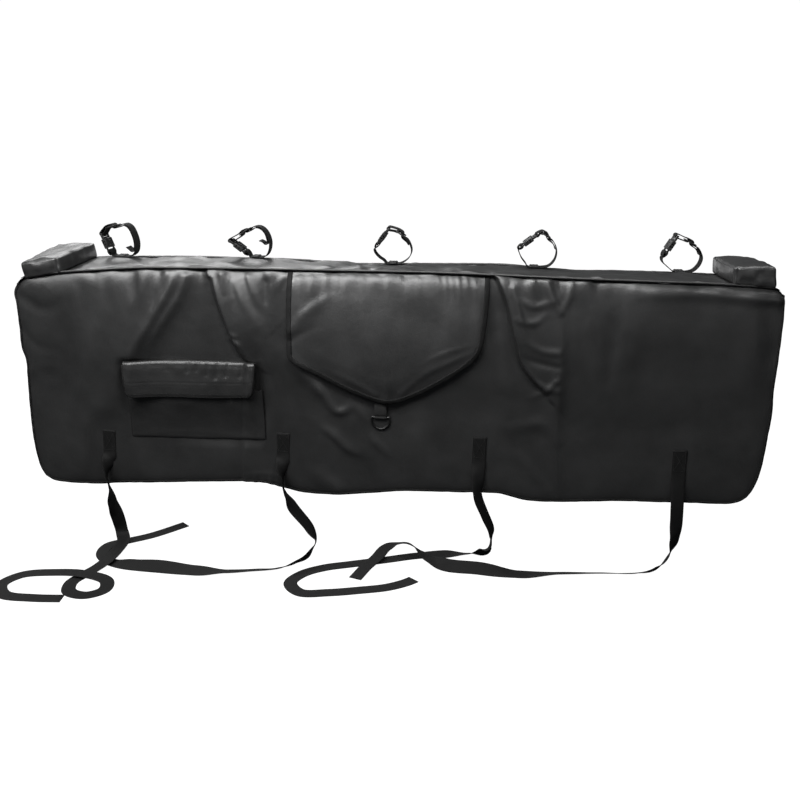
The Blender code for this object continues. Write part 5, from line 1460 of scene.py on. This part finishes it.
def rounded_bar(name, centre, axes, size, r, seg=3):
    """A small box with round edges; axes are its three directions."""
    bm = bmesh.new()
    bmesh.ops.create_cube(bm, size=1.0)
    bmesh.ops.scale(bm, vec=size, verts=bm.verts)
    bmesh.ops.bevel(bm, geom=bm.edges[:], offset=r, segments=seg, affect="EDGES", profile=0.5)
    M = Matrix([Vector(a) for a in axes]).transposed().to_4x4()
    M.translation = Vector(centre)
    bm.transform(M)
    me = bpy.data.meshes.new(name)
    bm.to_mesh(me)
    bm.free()
    ob = bpy.data.objects.new(name, me)
    scene.collection.objects.link(ob)
    return tidy(ob, 50)


for k, spec in enumerate(LOOPS):
    n1 = k + 1
    centre = centripetal(loop_path(spec), 0.0008)
    seg = np.linalg.norm(np.diff(centre, axis=0), axis=1)
    keep = [0]
    run = 0.0
    for i, d in enumerate(seg):                       # even steps
        run += d
        if run >= 0.00075:
            keep.append(i + 1)
            run = 0.0
    centre = centre[keep]
    for _ in range(2):
        centre[1:-1] = (centre[:-2] + centre[2:] + 2 * centre[1:-1]) / 4
    base = np.array([LOOP_X[k], 0, TOP_Z + GAP + LOOP_DZ[k]])
    path = np.stack([centre[:, 0], np.full(len(centre), 0.0), centre[:, 1]], 1) + base
    run = np.concatenate([[0], np.cumsum(np.linalg.norm(np.diff(path, axis=0), axis=1))])
    t = np.gradient(path, axis=0)
    t /= np.linalg.norm(t, axis=1, keepdims=True)
    A = np.tile([0.0, 1.0, 0.0], (len(path), 1))
    B = np.stack([-t[:, 2], t[:, 1] * 0, t[:, 0]], 1)
    path[:, 1] = LOOP_Y + 0.0003 * noise(run, run * 0, 0.03, 130 + k)
    strip_object("frame_strap_%d" % n1, path, A, B, WEB_W, WEB_T, WEBBING, ("frame_strap_%d" % n1,), n=7)

    # buckle and slider, with the ribs that the fingers hold
    u = np.array([spec["axis"][0], 0, spec["axis"][1]])
    u /= np.linalg.norm(u)
    w = np.array([0.0, 1.0, 0.0])
    v = np.cross(u, w)
    S = base + np.array([spec["socket"][0], 0, spec["socket"][1]]) / 1000 + np.array([0, LOOP_Y, 0])
    from_cad("buckle_socket_%d" % n1, "buckle_socket_%d" % n1, PLASTIC, lift=LOOP_DZ[k], bevel=0.0007)
    from_cad("buckle_plug_%d" % n1, "buckle_plug_%d" % n1, PLASTIC, lift=LOOP_DZ[k], bevel=0.0005)
    from_cad("strap_slider_%d" % n1, "strap_slider_%d" % n1, PLASTIC, lift=LOOP_DZ[k], bevel=0.0005)
    bars = []
    for q, sgn in ((0, 1), (1, -1)):
        for j in range(3):
            c = S + u * (0.0128 + 0.0042 * j) + v * sgn * 0.00445
            bars.append(rounded_bar("rib", c, (u, w, v), (0.0016, 0.018 - 0.002 * j, 0.0010), 0.0004, 2))
        c = S + u * 0.0325 + v * sgn * 0.0021
        bars.append(rounded_bar("rib", c, (u, w, v), (0.0030, 0.024, 0.0009), 0.0004, 2))
    ribs = join_meshes("buckle_ribs_%d" % n1, bars)
    dress(ribs, PLASTIC)

    # the sewn base: a short over-strip with a stitched box and cross
    z_low = base[2] + 0.0006 + WEB_T + 0.0003
    x0, x1 = base[0] - (0.0055 if k == 1 else 0.0085), base[0] + 0.0085
    gx, gy = np.meshgrid(np.linspace(x0, x1, 15), np.linspace(LOOP_Y - 0.0150, LOOP_Y + 0.0150, 25))
    ed = np.minimum(np.minimum(gx - x0, x1 - gx), 0.0150 - np.abs(gy - LOOP_Y))
    zt = z_low + 0.0014 - 0.0009 * np.exp(-ed / 0.0010) + 0.0002 * noise(gx, gy, 0.004, 140 + k)
    front = np.stack([gx, gy, zt], -1)
    back = np.stack([gx, gy, np.full_like(gx, z_low)], -1)
    ob = closed_sheet("keeper_%d" % n1, front, back, np.stack([gy, gx], -1))
    dress(ob, TAB_WEB, replaced=("keeper_%d" % n1,))
    zs = z_low + 0.0015
    a, b = x0 + 0.0014, x1 - 0.0014
    c, d = LOOP_Y - 0.0132, LOOP_Y + 0.0132
    box_ = [(a, c, zs), (b, c, zs), (b, d, zs), (a, d, zs), (a, c, zs)]
    stitches("keeper_thread_%d" % n1, [box_, [(a, c, zs), (b, d, zs)], [(b, c, zs), (a, d, zs)]], pitch=0.0026,
             length=0.0020, out=(0, 0, 1))

# ------------------------------------------------------------------ anchor straps
FLOOR_Z = -0.5422
STRAP_LENGTH = 0.92
ROUTES = {
    "anchor_strap_1": [
        (-534, -77.4, -302, (1, 0)), (-537, -77.4, -350, (1, 0)), (-540, -84.5, -368, (0.62, 0.78)),
        (-541, -91.0, -388, (-0.15, 0.99)), (-540, -92.0, -402, (-0.42, 0.91)), (-539, -90.5, -414, (-0.38, 0.92)),
        (-538, -85, -450, (0.30, 0.95)),
        (-534, -74, -490, (0.9, 0.43)),
        (-531, -69, -522, (1, 0.1)), (-521, -88, None, 5, 9), (-519, -128, None, 0, 8),
        (-521, -166, None, 0, 8), (-533, -190, None, 0, 3), (-547, -213, None, 0, 0),
        (-557, -243, None, 0, 0), (-546, -275, None, 0, 0), (-512, -284, None, 0, 0),
        (-487, -262, None, 0, 0), (-497, -230, None, 0, 1), (-545, -218, None, 0, 5),
        (-602, -212, None, 0, 1), (-660, -226, None, 0, 0), (-680, -264, None, 0, 0),
        (-656, -298, None, 0, 0), (-600, -303, None, 0, 0), (-545, -299, None, 0, 0)],
    "anchor_strap_2": [
        (-192, -77.4, -293, (1, 0)), (-194, -77.4, -342, (1, 0)), (-195, -87, -362, (0.62, 0.78)),
        (-193, -91, -384, (-0.1, 0.99)), (-192, -90.5, -404, (-0.23, 0.97)), (-189, -89, -414, (-0.15, 0.98)), (-176, -86, -442, (0.55, 0.83)), (-147, -78, -486, (0.45, 0.89)),
        (-134, -82, -512, (-0.1, 1.0)), (-140, -106, None, 70, 3), (-160, -135, None, 45, 1),
        (-192, -157, None, 25, 0), (-235, -167, None, 20, 0), (-285, -176, None, 15, 0),
        (-345, -181, None, -20, 0), (-413, -182, None, -45, 0), (-468, -176, None, -28, 0),
        (-520, -158, None, 0, 0), (-548, -128, None, 0, 0), (-549, -92, None, 0, 0),
        (-521, -71, None, 0, 0), (-480, -40, None, 0, 0), (-428, 19, None, 0, 0), (-415, 34, None, 0, 0)],
    "anchor_strap_3": [
        (178, -77.4, -285, (1, 0)), (178, -77.4, -336, (1, 0)), (178, -84.5, -363, (0.9, 0.43)),
        (178, -90, -397, (0.6, 0.8)), (192, -85, -436, (0.5, 0.87)), (207, -75, -476, (0.4, 0.92)),
        (207, -71, -503, (-0.1, 1.0)), (193, -60, None, 60, 2), (163, -56, None, 22, 0),
        (117, -57, None, -8, 0), (62, -68, None, 0, 0), (3, -92, None, 0, 0), (-59, -116, None, 0, 0),
        (-108, -136, None, 0, 0), (-144, -164, None, 0, 0), (-159, -200, None, 0, 0),
        (-133, -232, None, 0, 0), (-83, -226, None, 0, 0), (-31, -212, None, 0, 0),
        (22, -194, None, 0, 0), (61, -166, None, 0, 0), (79, -140, None, 0, 0)],
    "anchor_strap_4": [
        (541, -77.4, -294, (1, 0)), (543, -77.4, -345, (1, 0)), (544, -81, -373, (1, 0.15)),
        (545, -84, -401, (1, 0.2)), (547, -84, -437, (0.97, 0.25)), (547, -84, -472, (0.8, 0.6)),
        (540, -86, -502, (0.3, 0.95)), (520, -88, None, 50, 3), (485, -100, None, 32, 0),
        (411, -107, None, 26, 0), (336, -114, None, 20, 0), (261, -121, None, -5, 0),
        (186, -121, None, -45, 0), (123, -116, None, -50, 0), (90, -101, None, 0, 14),
        (61, -75, None, 42, 14), (31, -47, None, 15, 12), (4, -54, None, 0, 9),
        (-12, -96, None, 0, 6), (-28, -130, None, 0, 4), (-42, -166, None, 0, 0), (-50, -190, None, 0, 0)],
}


def strap_frames(route, length, step):
    """Centre points and width directions of a twisting strap of the given length."""
    pos, wid, flip = [], [], 1
    flat = [np.array([p[0], p[1], 0]) / 1000 for p in route]
    for i, p in enumerate(route):
        if len(p) == 4:
            pos.append(np.array(p[:3]) / 1000)
            wid.append(np.array([p[3][0], p[3][1], 0]) / math.hypot(*p[3]))
            continue
        tilt = math.radians(p[3])
        a, b = flat[max(0, i - 1)], flat[min(len(flat) - 1, i + 1)]
        d = (b - a) / np.linalg.norm(b - a)
        w = np.array([-d[1], d[0], 0]) * math.cos(tilt) + np.array([0, 0, math.sin(tilt)])
        if len(route[i - 1]) == 4:
            flip = -1 if w.dot(wid[-1]) < -1e-6 else 1
        w = w * flip
        h = WEB_T / 2 + 0.0001 + WEB_W / 2 * abs(math.sin(tilt)) + p[4] / 1000
        pos.append(np.array([p[0] / 1000, p[1] / 1000, FLOOR_Z + h]))
        wid.append(w)
    dense = centripetal(pos, 0.0015)
    wd = []
    for i in range(len(pos) - 1):
        n = max(2, int(np.linalg.norm(pos[i + 1] - pos[i]) / 0.0015))
        for k in range(n):
            t = smooth(k / n)
            wd.append(wid[i] * (1 - t) + wid[i + 1] * t)
    wd = np.array(wd + [wid[-1]])
    s = np.concatenate([[0], np.cumsum(np.linalg.norm(np.diff(dense, axis=0), axis=1))])
    reach = min(length, s[-1])
    q = np.linspace(0, reach, int(round(reach / step)) + 1)
    p = np.stack([np.interp(q, s, dense[:, c]) for c in range(3)], 1)
    w = np.stack([np.interp(q, s, wd[:, c]) for c in range(3)], 1)
    t = np.gradient(p, axis=0)
    t /= np.linalg.norm(t, axis=1, keepdims=True)
    w -= t * (w * t).sum(1, keepdims=True)
    w /= np.linalg.norm(w, axis=1, keepdims=True)
    return p, w, np.cross(t, w)


SEWN = {"anchor_strap_1": 0.050, "anchor_strap_2": 0.049, "anchor_strap_3": 0.051, "anchor_strap_4": 0.051}
for name, route in ROUTES.items():
    p, w, nn = strap_frames(route, STRAP_LENGTH, 0.004)
    ob = strip_object(name, p, w, nn, WEB_W, WEB_T, WEBBING, (name,), n=7)
    # the sewn end, with its stitched box
    s = SEWN[name] - 0.006
    top = p[0]
    y = top[1] - WEB_T / 2 - 0.0002
    k = int(s / 0.004)
    q = p[k]
    a, b = 0.0102, 0.0030
    corners = [(top[0] - a, y, top[2] - b), (top[0] + a, y, top[2] - b), (q[0] + a, y, q[2] + b), (q[0] - a, y, q[2] + b)]
    stitches(name + "_thread", [corners + corners[:1], [corners[0], corners[2]], [corners[1], corners[3]]],
             pitch=0.0030, length=0.0023)

# ------------------------------------------------------------------ rear tabs and strap locks
lock_r = 0.0029
tab_out = lock_r + 0.0014
for k, x in enumerate(REAR_TABS):
    n1 = k + 1
    yr = 0.075 + GAP + 0.0010 + GAP
    zb = -0.300 - 0.010
    yc = yr + tab_out - 0.0013
    eye_strip("rear_tab_%d" % n1, x, yc, zb, yr + 0.0008, yr + 0.0022, -0.266, lock_r + 0.0007, WEB_W, TAB_WEB,
              ("rear_tab_%d" % n1,))
    from_cad("rear_lock_%d" % n1, "rear_lock_%d" % n1, PLASTIC, "lock_%d" % n1, bevel=0.0006, segments=3)
    a = 0.0105
    y = yr + 0.0031
    corners = [(x - a, y, -0.268), (x + a, y, -0.268), (x + a, y, -0.288), (x - a, y, -0.288)]
    stitches("rear_tab_thread_%d" % n1, [corners + corners[:1], [corners[0], corners[2]], [corners[1], corners[3]]],
             pitch=0.0030, length=0.0023, out=(0, 1, 0))

# ------------------------------------------------------------------ studio
def glow(name, strength, mix=0.0, base=0.8):
    m, nt, sh = material(name)
    co = node(nt, "ShaderNodeTexCoord").outputs["Object"]
    cloud = node(nt, "ShaderNodeTexNoise", Vector=co, Scale=0.6, Detail=1.0).outputs[0]
    nt.links.new(ramp(nt, cloud, [(0.0, strength * 0.995), (1.0, strength)]), sh.inputs["Emission Color"])
    sh.inputs["Emission Strength"].default_value = 1.0
    sh.inputs["Base Color"].default_value = (mix, mix, mix, 1)
    sh.inputs["Roughness"].default_value = 1.0
    sh.inputs["Specular IOR Level"].default_value = 0.0
    return m


fl = new_mesh("floor", [(-12, -12, FLOOR_Z), (12, -12, FLOOR_Z), (12, 12, FLOOR_Z), (-12, 12, FLOOR_Z)], [(0, 1, 2, 3)])
fl.data.materials.append(glow("floor", 1.02, 0.10))
fl.visible_diffuse = False
fl.visible_glossy = False
bm = bmesh.new()
bmesh.ops.create_uvsphere(bm, u_segments=64, v_segments=32, radius=11)
me = bpy.data.meshes.new("dome")
bm.to_mesh(me)
bm.free()
dome = bpy.data.objects.new("dome", me)
scene.collection.objects.link(dome)
dome.data.shade_smooth()
dome.data.materials.append(glow("backdrop", 1.02))
for flag in ("visible_diffuse", "visible_glossy", "visible_shadow", "visible_transmission"):
    setattr(dome, flag, False)

world = bpy.data.worlds.new("world")
scene.world = world
world.use_nodes = True
bg = world.node_tree.nodes["Background"]
bg.inputs[0].default_value = (0.9, 0.95, 1.0, 1)
bg.inputs[1].default_value = 0.05


def area(name, at, towards, size, energy, colour=(1, 1, 1)):
    d = bpy.data.lights.new(name, "AREA")
    d.shape = "RECTANGLE"
    d.size, d.size_y = size
    d.energy = energy
    d.color = colour
    ob = bpy.data.objects.new(name, d)
    scene.collection.objects.link(ob)
    ob.matrix_world = Matrix.Translation(Vector(at)) @ (Vector(towards) - Vector(at)).to_track_quat("-Z", "Y").to_matrix().to_4x4()
    ob.visible_camera = False
    return ob


area("key", (-1.25, -1.45, 1.35), (0, -0.07, -0.15), (1.5, 0.8), 44)
area("near", (-0.15, -0.75, 0.85), (-0.02, -0.07, -0.06), (1.4, 0.25), 21)
area("overhead", (0.0, 0.1, 1.6), (0, 0, 0), (2.8, 0.7), 36)
area("back", (-1.3, 1.9, 1.15), (-0.35, 0, 0), (1.9, 0.6), 24)
area("rear", (0.3, 2.4, -0.30), (0, 0, -0.22), (2.4, 0.4), 4)
area("fill", (1.5, -2.2, 0.5), (0.1, 0, -0.2), (1.2, 1.4), 2)

scene.view_settings.view_transform = "Standard"
scene.view_settings.look = "None"

# ------------------------------------------------------------------ bring the scene up to date
bpy.context.view_layer.update()
